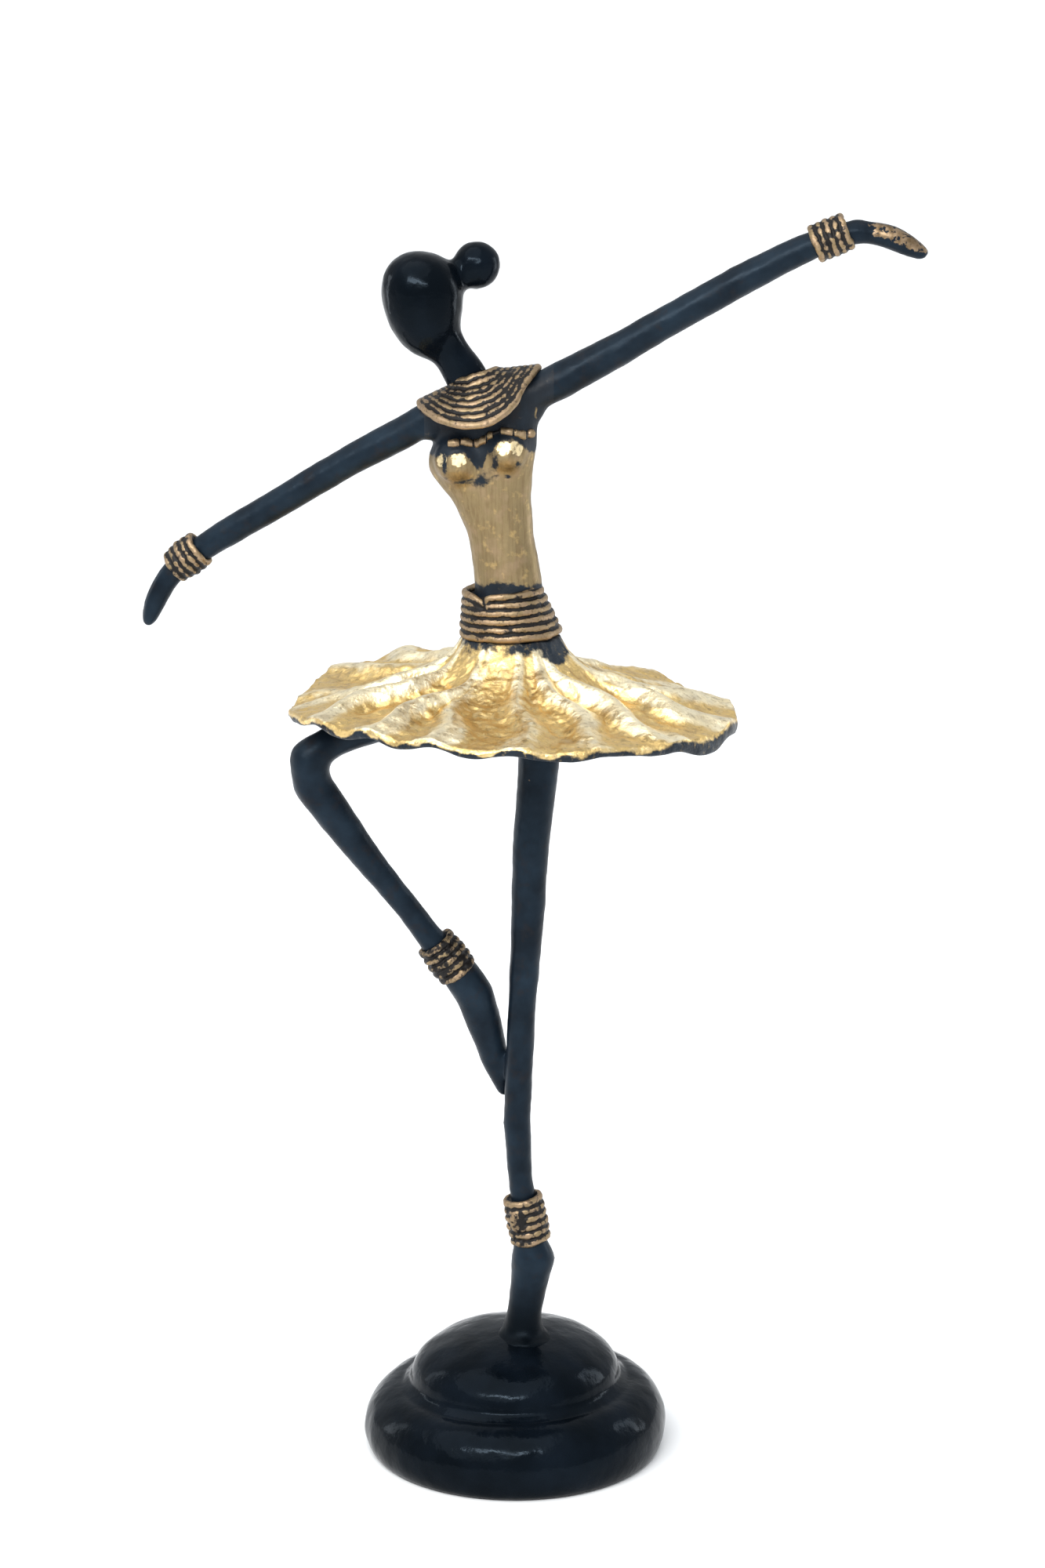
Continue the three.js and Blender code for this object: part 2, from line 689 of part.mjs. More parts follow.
// The trim follows the neckline as a wavy strip on the bodice.
const trimSeat = onTorso(-10, 0, 0.815);
function trimWave(point) {
  const angle = Math.atan2(point.x, -point.y);
  const share = Math.hypot(point.x, point.y) / collarRadius;
  point.z += share * (3.2 * Math.sin(angle + 0.4) + 1.2 * Math.sin(6 * angle));
  return point.add(trimSeat);
}
const trimOuter = 2 * collarRadius;
const trimInner = trimOuter / 20;
const trimSlab = turned([
  [trimInner, -trimHeight / 2],
  [trimOuter, -trimHeight / 2],
  [trimOuter, trimHeight / 2],
  [trimInner, trimHeight / 2],
  [trimInner, -trimHeight / 2],
], roundSides, trimWave);
const trim = torsoBody(trimThickness + clearance).intersect(trimSlab)
  .subtract(torsoGuard).subtract(armGuards);

// ---- Bands on the limbs ----

const ankletEnd = ankletRadius - bandTaper;
const standingAnklet = woundBand(standingAnkle, ankleLean, standingAnkletLength,
  [ankletEnd, ankletRadius, ankletEnd]).subtract(standingLegGuard);
const raisedAnklet = woundBand(raisedAnkle, shinDirection, raisedAnkletLength,
  [ankletEnd, ankletRadius + 0.2, ankletRadius]).subtract(
  limb([...thighStations, ...shinStations], clearance));
const loweredBracelet = woundBand(
  reach(loweredWrist, ...loweredReach, braceletSlip), loweredReach, braceletLength,
  [braceletRadius - 0.5, braceletRadius, braceletRadius - 1.2])
  .subtract(limb(loweredStations, clearance));
const raisedBracelet = woundBand(
  reach(raisedWrist, ...raisedReach, braceletSlip), raisedReach, braceletLength,
  [raisedBraceletRadius - 0.2, raisedBraceletRadius, raisedBraceletRadius - 0.2])
  .subtract(limb(raisedArmStations, clearance));

// ---- Finishes and scene ----

const finishes = {
  patina: { color: 0x2a3440, roughness: 0.42, metalness: 0.7 },
  darkPolish: { color: 0x161c24, roughness: 0.28, metalness: 0.7 },
  polished: { color: 0xd2a84e, roughness: 0.3, metalness: 1 },
  brushed: { color: 0xa58252, roughness: 0.45, metalness: 0.9 },
  threadBand: { color: 0xb08c5c, roughness: 0.4, metalness: 0.9 },
  steel: { color: 0x8c9094, roughness: 0.4, metalness: 1 },
};

function piece(name, solid, finish) {
  const material = new THREE.MeshStandardMaterial(finishes[finish]);
  const mesh = new THREE.Mesh(geometryFrom(solid), material);
  mesh.name = name;
  return mesh;
}

function gather(...children) {
  const group = new THREE.Group();
  group.add(...children);
  return group;
}

const plinth = gather(
  piece("base", base, "darkPolish"),
  piece("base_stud", stud, "steel"),
  piece("base_washer", washer, "steel"),
  piece("base_nut", nut, "steel"),
);
const legs = gather(
  piece("standing_foot", standing.near, "patina"),
  piece("standing_anklet", standingAnklet, "threadBand"),
  piece("standing_leg", standing.far, "patina"),
  piece("raised_thigh", kneeParts.near, "patina"),
  piece("raised_shin", raised.near, "patina"),
  piece("raised_anklet", raisedAnklet, "threadBand"),
  piece("raised_foot", raised.far, "patina"),
  piece("hips", hips, "patina"),
);
const clothes = gather(
  piece("skirt", skirt, "polished"),
  piece("waist_belt", belt, "threadBand"),
  piece("neckline_trim", trim, "polished"),
  piece("collar", collar, "threadBand"),
);
const upperBody = gather(
  piece("torso", torso, "brushed"),
  piece("lowered_arm", loweredArm.arm, "patina"),
  piece("lowered_bracelet", loweredBracelet, "threadBand"),
  piece("lowered_hand", loweredArm.hand, "patina"),
  piece("raised_arm", raisedArm.arm, "patina"),
  piece("raised_bracelet", raisedBracelet, "threadBand"),
  piece("raised_hand", raisedArm.hand, "patina"),
  piece("neck", neck, "patina"),
  piece("head", head, "darkPolish"),
  piece("hair_bun", bun, "darkPolish"),
);

// The origin is the middle of the whole piece's box, on the surface it stands on.
const figure = gather(plinth, legs, clothes, upperBody);
const extent = new THREE.Box3().setFromObject(figure);
const middle = extent.getCenter(new THREE.Vector3());
figure.position.set(-middle.x, -middle.y, -extent.min.z);

export default gather(figure);
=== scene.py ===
from math import cos, pi, radians, sin, tau

import bmesh
import bpy
import numpy as np
from bpy.props import FloatProperty, FloatVectorProperty, IntProperty, PointerProperty
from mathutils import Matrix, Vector, noise
from mathutils.bvhtree import BVHTree


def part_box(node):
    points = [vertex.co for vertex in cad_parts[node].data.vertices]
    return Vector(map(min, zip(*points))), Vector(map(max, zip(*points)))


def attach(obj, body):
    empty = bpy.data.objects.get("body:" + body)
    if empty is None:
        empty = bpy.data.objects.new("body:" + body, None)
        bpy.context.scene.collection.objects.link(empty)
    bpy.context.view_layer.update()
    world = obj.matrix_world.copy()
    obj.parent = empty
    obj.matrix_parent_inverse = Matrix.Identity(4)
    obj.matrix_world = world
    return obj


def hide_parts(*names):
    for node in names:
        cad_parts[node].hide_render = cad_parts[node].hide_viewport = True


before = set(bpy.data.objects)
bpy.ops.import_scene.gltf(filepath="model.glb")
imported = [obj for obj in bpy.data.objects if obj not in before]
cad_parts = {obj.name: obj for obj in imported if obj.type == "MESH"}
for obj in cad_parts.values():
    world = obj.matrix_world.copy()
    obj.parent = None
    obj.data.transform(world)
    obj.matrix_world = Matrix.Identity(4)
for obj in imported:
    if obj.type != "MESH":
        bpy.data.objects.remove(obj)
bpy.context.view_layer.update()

bl_info = {
    "name": "Cast Bronze Dancer",
    "version": (1, 0, 0),
    "blender": (4, 5, 0),
    "location": "View3D > Sidebar > Dancer",
    "description": "Fine surfaces and finishes for a cast bronze dancer on a domed base",
    "category": "Add Mesh",
}

BODY = "root"
MM = 0.001
RIGHT, BACK, UP = np.eye(3)


def in_mm(corner):
    """A corner of a box as an array in millimetres."""
    return np.array(corner) / MM


def low_of(node):
    """The lowest corner of a CAD node, in millimetres."""
    return in_mm(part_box(node)[0])


def high_of(node):
    """The highest corner of a CAD node, in millimetres."""
    return in_mm(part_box(node)[1])


def middle_of(node):
    """The middle of a CAD node, in millimetres."""
    return (low_of(node) + high_of(node)) / 2


# ---- Settings that a user would change ----


def linear(hex_colour):
    """An sRGB hex colour as linear red, green and blue."""
    parts = [int(hex_colour[place:place + 2], 16) / 255 for place in (1, 3, 5)]
    return tuple(
        part / 12.92 if part <= 0.04045 else ((part + 0.055) / 1.055) ** 2.4 for part in parts
    )


def length(name, description, size):
    """A length property, given in millimetres."""
    return FloatProperty(
        name=name, description=description, default=size * MM, unit="LENGTH", subtype="DISTANCE"
    )


def colour(name, description, hex_colour):
    """A colour property, given as sRGB hex."""
    shade = linear(hex_colour)
    return FloatVectorProperty(
        name=name, description=description, default=shade, subtype="COLOR", size=3, min=0, max=1
    )


class BronzeColours(bpy.types.PropertyGroup):
    """Colours of the bronze where it is blackened, rubbed and polished."""

    patina: colour("Patina", "Blue-black of the patinated limbs", "#0B1118")
    patina_sheen: colour("Patina sheen", "Lighter blue-grey drifts in the patina", "#18232D")
    patina_brown: colour("Patina brown", "Warm brown where the patina is thin", "#1F1917")
    waxed_black: colour("Waxed black", "Near-black of the waxed base and head", "#04070B")
    polished: colour("Polished", "Pale gold of the polished ridges", "#FCEECB")
    filed: colour("Filed", "Warmer gold left by the file", "#F4DFB0")
    # Hammered gold is a real finish; on the skirt it also paints the shade in the fold hollows.
    hammered: colour("Hammered", "Deeper yellow gold in the hammered hollows", "#DFBF7E")
    tarnish: colour("Tarnish", "Brown-grey tarnish that gathers in hollows", "#6F5B42")
    brushed: colour("Brushed", "Duller gold of the brushed bodice", "#8C7B5B")
    rubbed: colour("Rubbed", "Beige gold of the rubbed thread ridges", "#9E876D")
    groove: colour("Groove", "Brown-black in the grooves of the bands", "#100D0C")
    zinc: colour("Zinc", "Grey of the plated fixings under the base", "#A3A7AB")
    bloom: colour("Bloom", "Duller cloudy patches on the plated fixings", "#74777A")


class BaseSizes(bpy.types.PropertyGroup):
    """Sizes of the domed base."""

    foot_inset: length("Foot inset", "How far the foot ring is set in from the belly", 4.1)
    tier_height: length("Tier height", "Height of the lower tier", 23.4)
    tier_widest: length("Widest height", "Height where the lower tier is widest", 9)
    dome_radius: length("Dome radius", "Radius of the upper tier", 36.4)
    dome_spring: length("Dome spring", "Height where the upper tier is widest", 26)
    shelf: length("Shelf", "Width of the soft step between the tiers", 3.4)
    crown: length("Crown", "Braze built up under the foot, over the casting's top", 2.2)
    wall: length("Wall", "Thickness of the hollow casting", 3.5)
    waviness: length("Waviness", "How far the hand-worked surface strays from round", 0.42)


class SkirtSizes(bpy.types.PropertyGroup):
    """Sizes of the flaring skirt."""

    neck_radius: length("Neck radius", "Radius where the skirt leaves the belt", 16.3)
    fall: length("Fall", "Drop from the neck to the rim", 23.2)
    wall: length("Wall", "Thickness of the sheet at the rim", 2.6)
    ridge_height: length("Ridge height", "Height of the folds between their hollows", 6.2)
    crease_height: length("Crease height", "Height of the narrow creases along the folds", 0.75)
    hammer_depth: length("Hammer depth", "Depth of the marks in the hollows", 1.0)
    hammer_size: length("Hammer size", "Width of the marks in the hollows", 3.2)


class ThreadSizes(bpy.types.PropertyGroup):
    """Sizes of the wound bands."""

    pitch: length("Thread pitch", "Spacing of the wound threads", 2.35)
    wander: length("Wander", "How far a thread strays from its line", 0.38)
    voxel: length("Voxel", "Grain of the fused thread surface", 0.3)
    sides: IntProperty(name="Sides", description="Facets round a thread", default=10, min=6)


class FigureSizes(bpy.types.PropertyGroup):
    """How the figure's cast surface is made."""

    voxel: length("Voxel", "Grain of the fused figure surface", 0.75)
    seam_cover: length("Seam cover", "Growth that closes the gaps between sections", 0.2)
    lumps: length("Lumps", "Depth of the soft hand-modelled lumps", 0.22)
    lump_size: length("Lump size", "Width of the hand-modelled lumps", 9)


class StageSizes(bpy.types.PropertyGroup):
    """Sizes of the floor, the lights and the camera."""

    floor_radius: length("Floor radius", "Radius of the plain floor", 60000)
    camera_distance: length("Camera distance", "Distance in front of the base", 1180)
    camera_height: length("Camera height", "Height above the floor", 514)
    camera_side: length("Camera side", "Shift to the right of the base's middle", 2.6)
    aim_height: length("Aim height", "Height that the camera looks at", 237)
    lens: FloatProperty(name="Lens", description="Focal length in millimetres", default=82.85)


SETTINGS = {
    "dancer_colours": BronzeColours,
    "dancer_base": BaseSizes,
    "dancer_skirt": SkirtSizes,
    "dancer_threads": ThreadSizes,
    "dancer_figure": FigureSizes,
    "dancer_stage": StageSizes,
}


def mm(group, name):
    """A length property in millimetres."""
    return getattr(group, name) / MM


# ---- Surfaces ----


def smoothstep(low, high, value):
    """0 at low, 1 at high and a smooth ramp between; low may be the larger one."""
    share = np.clip((value - low) / (high - low), 0, 1)
    return share * share * (3 - 2 * share)


def lumps(points, size, seed):
    """Smooth noise from -1 to 1 at each point, with lumps of about size millimetres."""
    offset = Vector((17.3, 5.1, 9.7)) * seed
    return np.array([noise.noise(Vector(point) / size + offset) for point in points])


def surface(name, points, faces):
    """A smooth-shaded mesh object from points in millimetres."""
    mesh = bpy.data.meshes.new(name)
    mesh.from_pydata((np.asarray(points) * MM).tolist(), [], faces)
    mesh.validate()
    mesh.shade_smooth()
    piece = bpy.data.objects.new(name, mesh)
    bpy.context.scene.collection.objects.link(piece)
    return piece


def rows_of(parts, name, width, kind=float):
    """One property of each vertex or edge, as rows."""
    flat = np.empty(len(parts) * width, dtype=kind)
    parts.foreach_get(name, flat)
    return flat.reshape(-1, width)


def points_of(piece):
    """The piece's vertices, in millimetres."""
    return rows_of(piece.data.vertices, "co", 3) / MM


def normals_of(piece):
    """The piece's vertex normals."""
    return rows_of(piece.data.vertices, "normal", 3)


def edges_of(piece):
    """The piece's edges as pairs of vertex numbers."""
    return rows_of(piece.data.edges, "vertices", 2, np.int32)


def move_to(piece, points):
    """Puts the piece's vertices at new places, in millimetres."""
    piece.data.vertices.foreach_set("co", (points * MM).ravel())
    piece.data.update()


def swell(piece, amounts):
    """Moves each vertex out along its normal by its own amount, in millimetres."""
    move_to(piece, points_of(piece) + normals_of(piece) * np.reshape(amounts, (-1, 1)))


def paint(piece, name, values):
    """Stores a value from 0 to 1 at each vertex, which the materials read by name."""
    layer = piece.data.attributes.new(name, "FLOAT", "POINT")
    layer.data.foreach_set("value", np.clip(values, 0, 1).astype(np.float32))


def neighbours_mean(points, edges):
    """The mean of each vertex's neighbours."""
    first, second = edges.T
    count = len(points)
    valence = np.bincount(first, minlength=count) + np.bincount(second, minlength=count)
    total = np.empty_like(points)
    for axis in range(points.shape[1]):
        total[:, axis] = np.bincount(first, points[second, axis], count)
        total[:, axis] += np.bincount(second, points[first, axis], count)
    return total / np.maximum(valence, 1)[:, None]


def relaxed(points, edges, rounds):
    """The points after rounds of easing each one halfway to its neighbours' mean."""
    for _ in range(rounds):
        points = (points + neighbours_mean(points, edges)) / 2
    return points


def fair(piece, rounds, share=1.0):
    """Melts facets and seams away, then gives back the girth that the smoothing took."""
    edges = edges_of(piece)
    before = points_of(piece)
    after = relaxed(before, edges, rounds)
    normals = normals_of(piece)
    lost = ((before - after) * normals).sum(axis=1, keepdims=True)
    lost = relaxed(lost, edges, 2 * rounds)
    move_to(piece, before + share * (after + normals * lost - before))


def relief(piece, rounds):
    """How far each vertex stands proud of the smoothed surface, in millimetres."""
    points = points_of(piece)
    edges = edges_of(piece)
    smoothed = relaxed(points, edges, 2 * rounds)
    return ((points - smoothed) * normals_of(piece)).sum(axis=1)


def node_shell(node, grow):
    """A CAD node's welded surface, grown a little: its points in millimetres and its faces."""
    work = bmesh.new()
    work.from_mesh(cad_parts[node].data)
    bmesh.ops.remove_doubles(work, verts=work.verts, dist=0.001 * MM)
    bmesh.ops.recalc_face_normals(work, faces=work.faces)
    work.normal_update()
    points = [(vertex.co + vertex.normal * grow * MM) / MM for vertex in work.verts]
    faces = [[vertex.index for vertex in face.verts] for face in work.faces]
    work.free()
    return np.array(points), faces


def fused(name, shells, voxel, rounds):
    """One closed skin over several overlapping closed shells."""
    points = []
    faces = []
    for shell_points, shell_faces in shells:
        start = len(points)
        points.extend(np.asarray(shell_points).tolist())
        faces.extend([[start + corner for corner in face] for face in shell_faces])
    piece = surface(name, points, faces)
    remesh = piece.modifiers.new("Fuse", "REMESH")
    remesh.mode = "VOXEL"
    remesh.voxel_size = voxel * MM
    remesh.use_smooth_shade = True
    graph = bpy.context.evaluated_depsgraph_get()
    skin = bpy.data.meshes.new_from_object(piece.evaluated_get(graph))
    rough = piece.data
    piece.modifiers.clear()
    piece.data = skin
    bpy.data.meshes.remove(rough)
    skin.name = name
    fair(piece, rounds)
    return piece


def even_turns(count):
    """The angles of count even steps of a full turn."""
    return np.arange(count) * tau / count


def rings_round(path, first, second, sides):
    """Rings of points round a path; first and second are each ring's two half-axes."""
    turn = even_turns(sides)[None, :, None]
    return path[:, None] + np.cos(turn) * first[:, None] + np.sin(turn) * second[:, None]


def quads(rings, sides, loop=False):
    """Faces between neighbouring rings; a loop also joins the last ring to the first."""
    faces = []
    for ring in range(rings - 1 + loop):
        near, far = ring * sides, (ring + 1) % rings * sides
        for side in range(sides):
            after = (side + 1) % sides
            faces.append([near + side, near + after, far + after, far + side])
    return faces


def grid_shell(rings):
    """Points and faces of a closed shell through rings of equal length, with both ends capped."""
    count, sides = rings.shape[:2]
    points = [*rings.reshape(-1, 3), rings[0].mean(axis=0), rings[-1].mean(axis=0)]
    faces = quads(count, sides)
    bottom, top = count * sides, count * sides + 1
    last = (count - 1) * sides
    for side in range(sides):
        after = (side + 1) % sides
        faces.append([bottom, after, side])
        faces.append([top, last + side, last + after])
    return np.array(points), faces


def tube_shell(path, outward, radii, flat, sides):
    """Points and faces of a closed loop of tube; outward is its outer side at each point."""
    ahead = np.roll(path, -1, axis=0) - np.roll(path, 1, axis=0)
    ahead /= np.linalg.norm(ahead, axis=1, keepdims=True)
    high = outward * (radii * flat)[:, None]
    wide = np.cross(ahead, outward) * radii[:, None]
    points = rings_round(path, high, wide, sides).reshape(-1, 3)
    joined = quads(len(path), sides, loop=True)
    return points, [[near, far, past, beside] for near, beside, past, far in joined]


def rod_shell(path, radii, sides):
    """Points and faces of a short rod with closed ends."""
    ahead = np.gradient(path, axis=0)
    ahead /= np.linalg.norm(ahead, axis=1, keepdims=True)
    across = np.cross(ahead, BACK)
    across /= np.linalg.norm(across, axis=1, keepdims=True)
    girth = radii[:, None]
    return grid_shell(rings_round(path, across * girth, np.cross(across, ahead) * girth, sides))


def bead_shell(centre, sizes, sides=16, steps=9):
    """Points and faces of a rounded bead with its own half-sizes along each axis."""
    along = np.linspace(-1, 1, steps)
    girth = np.sqrt(np.maximum(1 - (along * 0.985) ** 2, 0))
    path = centre + np.outer(along * sizes[2], UP)
    wide, deep = np.outer(girth * sizes[0], RIGHT), np.outer(girth * sizes[1], BACK)
    return grid_shell(rings_round(path, wide, deep, sides))


def keep_side(piece, name, at, facing):
    """A copy of the piece on one side of an upright plane across X, closed where it is cut."""
    work = bmesh.new()
    work.from_mesh(piece.data)
    everything = [*work.verts, *work.edges, *work.faces]
    cut = bmesh.ops.bisect_plane(
        work,
        geom=everything,
        dist=1e-7,
        plane_co=(at * MM, 0, 0),
        plane_no=(facing, 0, 0),
        clear_inner=True,
    )
    rim = [part for part in cut["geom_cut"] if isinstance(part, bmesh.types.BMEdge)]
    bmesh.ops.triangle_fill(work, edges=rim, use_beauty=True)
    bmesh.ops.recalc_face_normals(work, faces=work.faces)
    for edge in rim:
        edge.smooth = False
    mesh = bpy.data.meshes.new(name)
    work.to_mesh(mesh)
    work.free()
    mesh.shade_smooth()
    part = bpy.data.objects.new(name, mesh)
    bpy.context.scene.collection.objects.link(part)
    return part


def seat(piece, nodes, material):
    """Gives a finished piece its material, its CAD nodes and its body."""
    piece.data.materials.clear()
    piece.data.materials.append(material)
    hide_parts(*nodes)
    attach(piece, BODY)


# ---- Finishes ----

# The colour sockets of a Mix node.
MIX_A, MIX_B, MIX_RESULT = 6, 7, 2


def add(tree, kind, feeds=None, **settings):
    """Adds a node with its settings; feeds gives its inputs as values or other nodes' sockets."""
    node = tree.nodes.new(kind)
    for name, value in settings.items():
        setattr(node, name, value)
    for key, value in (feeds or {}).items():
        socket = node.inputs[key]
        if isinstance(value, bpy.types.NodeSocket):
            tree.links.new(value, socket)
        elif getattr(socket, "type", "") == "RGBA" and len(value) == 3:
            socket.default_value = (*value, 1)
        else:
            socket.default_value = value
    return node


def per_metre(size):
    """Texture scale for a pattern whose features are size millimetres wide."""
    return 1 / (size * MM)


def new_finish(name):
    """An empty material, with its tree and its object coordinates, which are in metres."""
    material = bpy.data.materials.new(name)
    material.use_nodes = True
    tree = material.node_tree
    tree.nodes.clear()
    place = add(tree, "ShaderNodeTexCoord").outputs["Object"]
    return material, tree, place


def drift(tree, place, size, low, high, detail=3.0, to_min=0.0, to_max=1.0):
    """Cloudy variation with clouds of size millimetres, spread from low..high to a range."""
    feeds = {"Vector": place, "Scale": per_metre(size), "Detail": detail, "Roughness": 0.55}
    cloud = add(tree, "ShaderNodeTexNoise", feeds).outputs["Fac"]
    feeds = {"Value": cloud, "From Min": low, "From Max": high, "To Min": to_min, "To Max": to_max}
    return add(tree, "ShaderNodeMapRange", feeds).outputs["Result"]


def coats(tree, first, *layers):
    """Coats of colour laid one over another, each where its own share is near 1."""
    for share, shade in layers:
        feeds = {0: share, MIX_A: first, MIX_B: shade}
        first = add(tree, "ShaderNodeMix", feeds, data_type="RGBA").outputs[MIX_RESULT]
    return first


def ragged(tree, place, name, size, edge):
    """A painted value with its edge broken up by clouds of size millimetres, made crisp."""
    cloud = drift(tree, place, size, 0.3, 0.7, 4.0, -0.32, 0.32)
    value = add(tree, "ShaderNodeAttribute", attribute_name=name).outputs["Fac"]
    broken = add(tree, "ShaderNodeMath", {0: value, 1: cloud}, operation="ADD").outputs[0]
    feeds = {"Value": broken, "From Min": 0.5 - edge, "From Max": 0.5 + edge}
    crisp = add(tree, "ShaderNodeMapRange", feeds, interpolation_type="SMOOTHSTEP")
    return crisp.outputs["Result"]


def dents(tree, place, size, depth, under=None, detail=3.0):
    """Bump of cloudy dents, size millimetres wide and depth millimetres deep."""
    feeds = {"Vector": place, "Scale": per_metre(size), "Detail": detail}
    cloud = add(tree, "ShaderNodeTexNoise", feeds).outputs["Fac"]
    feeds = {"Height": cloud, "Distance": depth * MM, "Strength": 1.0}
    if under is not None:
        feeds["Normal"] = under
    return add(tree, "ShaderNodeBump", feeds).outputs["Normal"]


def facets(tree, place, size, depth, under):
    """Bump of flat little planes, as a hammer or a scraper leaves, size millimetres wide."""
    feeds = {"Vector": place, "Scale": per_metre(size), "Smoothness": 0.35}
    cells = add(tree, "ShaderNodeTexVoronoi", feeds, feature="SMOOTH_F1").outputs["Distance"]
    feeds = {"Height": cells, "Distance": depth * MM, "Strength": 1.0, "Normal": under}
    return add(tree, "ShaderNodeBump", feeds).outputs["Normal"]


def finish_with(tree, base_colour, bare, rough, normal, specular, tint=(1.0, 1.0, 1.0)):
    """The shader that every finish ends in: metal where it is bare, a dark skin elsewhere."""
    feeds = {"Base Color": base_colour, "Metallic": bare, "Roughness": rough, "Normal": normal}
    feeds |= {"Specular IOR Level": specular, "Specular Tint": tint}
    shader = add(tree, "ShaderNodeBsdfPrincipled", feeds).outputs["BSDF"]
    add(tree, "ShaderNodeOutputMaterial", {"Surface": shader})


# Oxide skins throw back a bluish highlight.
BLUED = (0.62, 0.81, 1.0)


def patina_colour(tree, place, colours):
    """Blue-black patina with lighter drifts and brown where it is thin."""
    return coats(
        tree,
        colours.patina,
        (drift(tree, place, 14, 0.35, 0.7), colours.patina_sheen),
        (drift(tree, place, 5, 0.56, 0.74, 5.0, 0.0, 0.6), colours.patina_brown),
    )


def blued_patina(colours):
    """Bronze blackened with liver of sulphur: a soft blue-grey sheen, waxed black at the toe, and
    painted shade darkening the foot towards the base.
    """
    material, tree, place = new_finish("blued_bronze_patina_waxed")
    bare = ragged(tree, place, "bare", 1.8, 0.08)
    gold = coats(tree, colours.tarnish, (drift(tree, place, 2.5, 0.35, 0.65), colours.rubbed))
    wax = add(tree, "ShaderNodeAttribute", attribute_name="wax").outputs["Fac"]
    # Waxed black at the toe, fading up the foot as painted shade where it meets the base.
    dark = coats(tree, patina_colour(tree, place, colours), (wax, colours.waxed_black))
    shade = coats(tree, dark, (bare, gold))
    rough = drift(tree, place, 8, 0.3, 0.7, 3.0, 0.3, 0.46)
    # Sand-cast grain is about 0.3 mm; drawn at 0.9 mm so that it shows.
    normal = dents(tree, place, 0.9, 0.04, dents(tree, place, 4.5, 0.14))
    gloss = add(tree, "ShaderNodeMapRange", {"Value": wax, "To Min": 0.14, "To Max": 0.075})
    finish_with(tree, shade, bare, rough, normal, gloss.outputs["Result"], BLUED)
    return material


def waxed_black(colours):
    """Thick black patina under polished wax: deep black with clean, narrow highlights."""
    material, tree, place = new_finish("black_bronze_patina_polished_wax")
    shade = coats(
        tree, colours.waxed_black, (drift(tree, place, 18, 0.4, 0.75), colours.patina)
    )
    rough = drift(tree, place, 7, 0.3, 0.7, 4.0, 0.1, 0.24)
    # Rag strokes in the wax are 1 to 2 mm wide.
    normal = dents(tree, place, 1.6, 0.03, dents(tree, place, 6.0, 0.3))
    finish_with(tree, shade, 0.0, rough, normal, 0.075, BLUED)
    return material


def polished_skirt(colours):
    """Filed and polished yellow bronze: bright facets on the folds, hammered hollows between,
    painted darker there as shade.
    """
    material, tree, place = new_finish("polished_bronze_hammered")
    hollow = ragged(tree, place, "hollow", 4.0, 0.45)
    bare = ragged(tree, place, "bare", 2.2, 0.4)
    gold = coats(
        tree,
        colours.polished,
        (drift(tree, place, 6, 0.4, 0.66, 4.0, 0.0, 0.7), colours.filed),
        # Deeper gold in the fold hollows: partly hammered finish, partly painted shade.
        (hollow, colours.hammered),
        (drift(tree, place, 1.5, 0.55, 0.74, 4.0, 0.0, 0.6), colours.brushed),
        (drift(tree, place, 9, 0.54, 0.76, 5.0, 0.0, 0.5), colours.rubbed),
        (drift(tree, place, 4, 0.6, 0.78, 6.0, 0.0, 0.75), colours.tarnish),
    )
    shade = coats(tree, patina_colour(tree, place, colours), (bare, gold))
    rough = drift(tree, place, 5, 0.3, 0.7, 4.0, 0.3, 0.5)
    # File and hammer marks are about 1.2 mm across.
    normal = dents(tree, place, 1.2, 0.2, dents(tree, place, 3.5, 0.55))
    finish_with(tree, shade, bare, rough, facets(tree, place, 6.0, 0.9, normal), 0.2)
    return material


def brushed_bodice(colours):
    """Wire-brushed bronze: dull gold with upright strokes, and black patina left in the hollows."""
    material, tree, place = new_finish("brushed_bronze")
    # Drawn out upwards, because the brush runs up and down.
    drawn_out = add(tree, "ShaderNodeMapping", {"Vector": place, "Scale": (1.0, 1.0, 0.07)})
    upright = drawn_out.outputs["Vector"]
    bare = ragged(tree, place, "bare", 1.8, 0.26)
    facet = ragged(tree, place, "facet", 2.0, 0.12)
    # Brush strokes are 0.2 mm wide; drawn at 0.8 mm so that they show.
    gold = coats(
        tree,
        colours.brushed,
        (drift(tree, upright, 0.8, 0.42, 0.74, 4.0, 0.0, 0.6), colours.tarnish),
        (drift(tree, place, 5, 0.5, 0.7, 5.0, 0.0, 0.5), colours.rubbed),
        (drift(tree, place, 3, 0.58, 0.74, 5.0, 0.0, 0.4), colours.hammered),
        (facet, colours.filed),
    )
    shade = coats(tree, patina_colour(tree, place, colours), (bare, gold))
    rough = drift(tree, upright, 1.4, 0.3, 0.7, 3.0, 0.4, 0.56)
    normal = dents(tree, upright, 0.8, 0.06, dents(tree, place, 3.0, 0.16))
    finish_with(tree, shade, bare, rough, normal, 0.2)
    return material


def rubbed_thread(colours):
    """Cast wax thread, blackened and rubbed back: beige-gold ridges over brown-black grooves."""
    material, tree, place = new_finish("rubbed_bronze_thread")
    bare = ragged(tree, place, "bare", 1.5, 0.16)
    ridge = coats(
        tree,
        colours.rubbed,
        (drift(tree, place, 3.0, 0.4, 0.68, 4.0, 0.0, 0.8), colours.brushed),
        (drift(tree, place, 1.1, 0.52, 0.7, 2.0, 0.0, 0.65), colours.tarnish),
    )
    shade = coats(tree, colours.groove, (bare, ridge))
    rough = drift(tree, place, 1.5, 0.3, 0.7, 3.0, 0.42, 0.6)
    # Tool nicks across the threads are 0.6 mm; drawn at 0.8 mm so that they show.
    normal = dents(tree, place, 0.8, 0.09)
    finish_with(tree, shade, bare, rough, normal, 0.22)
    return material


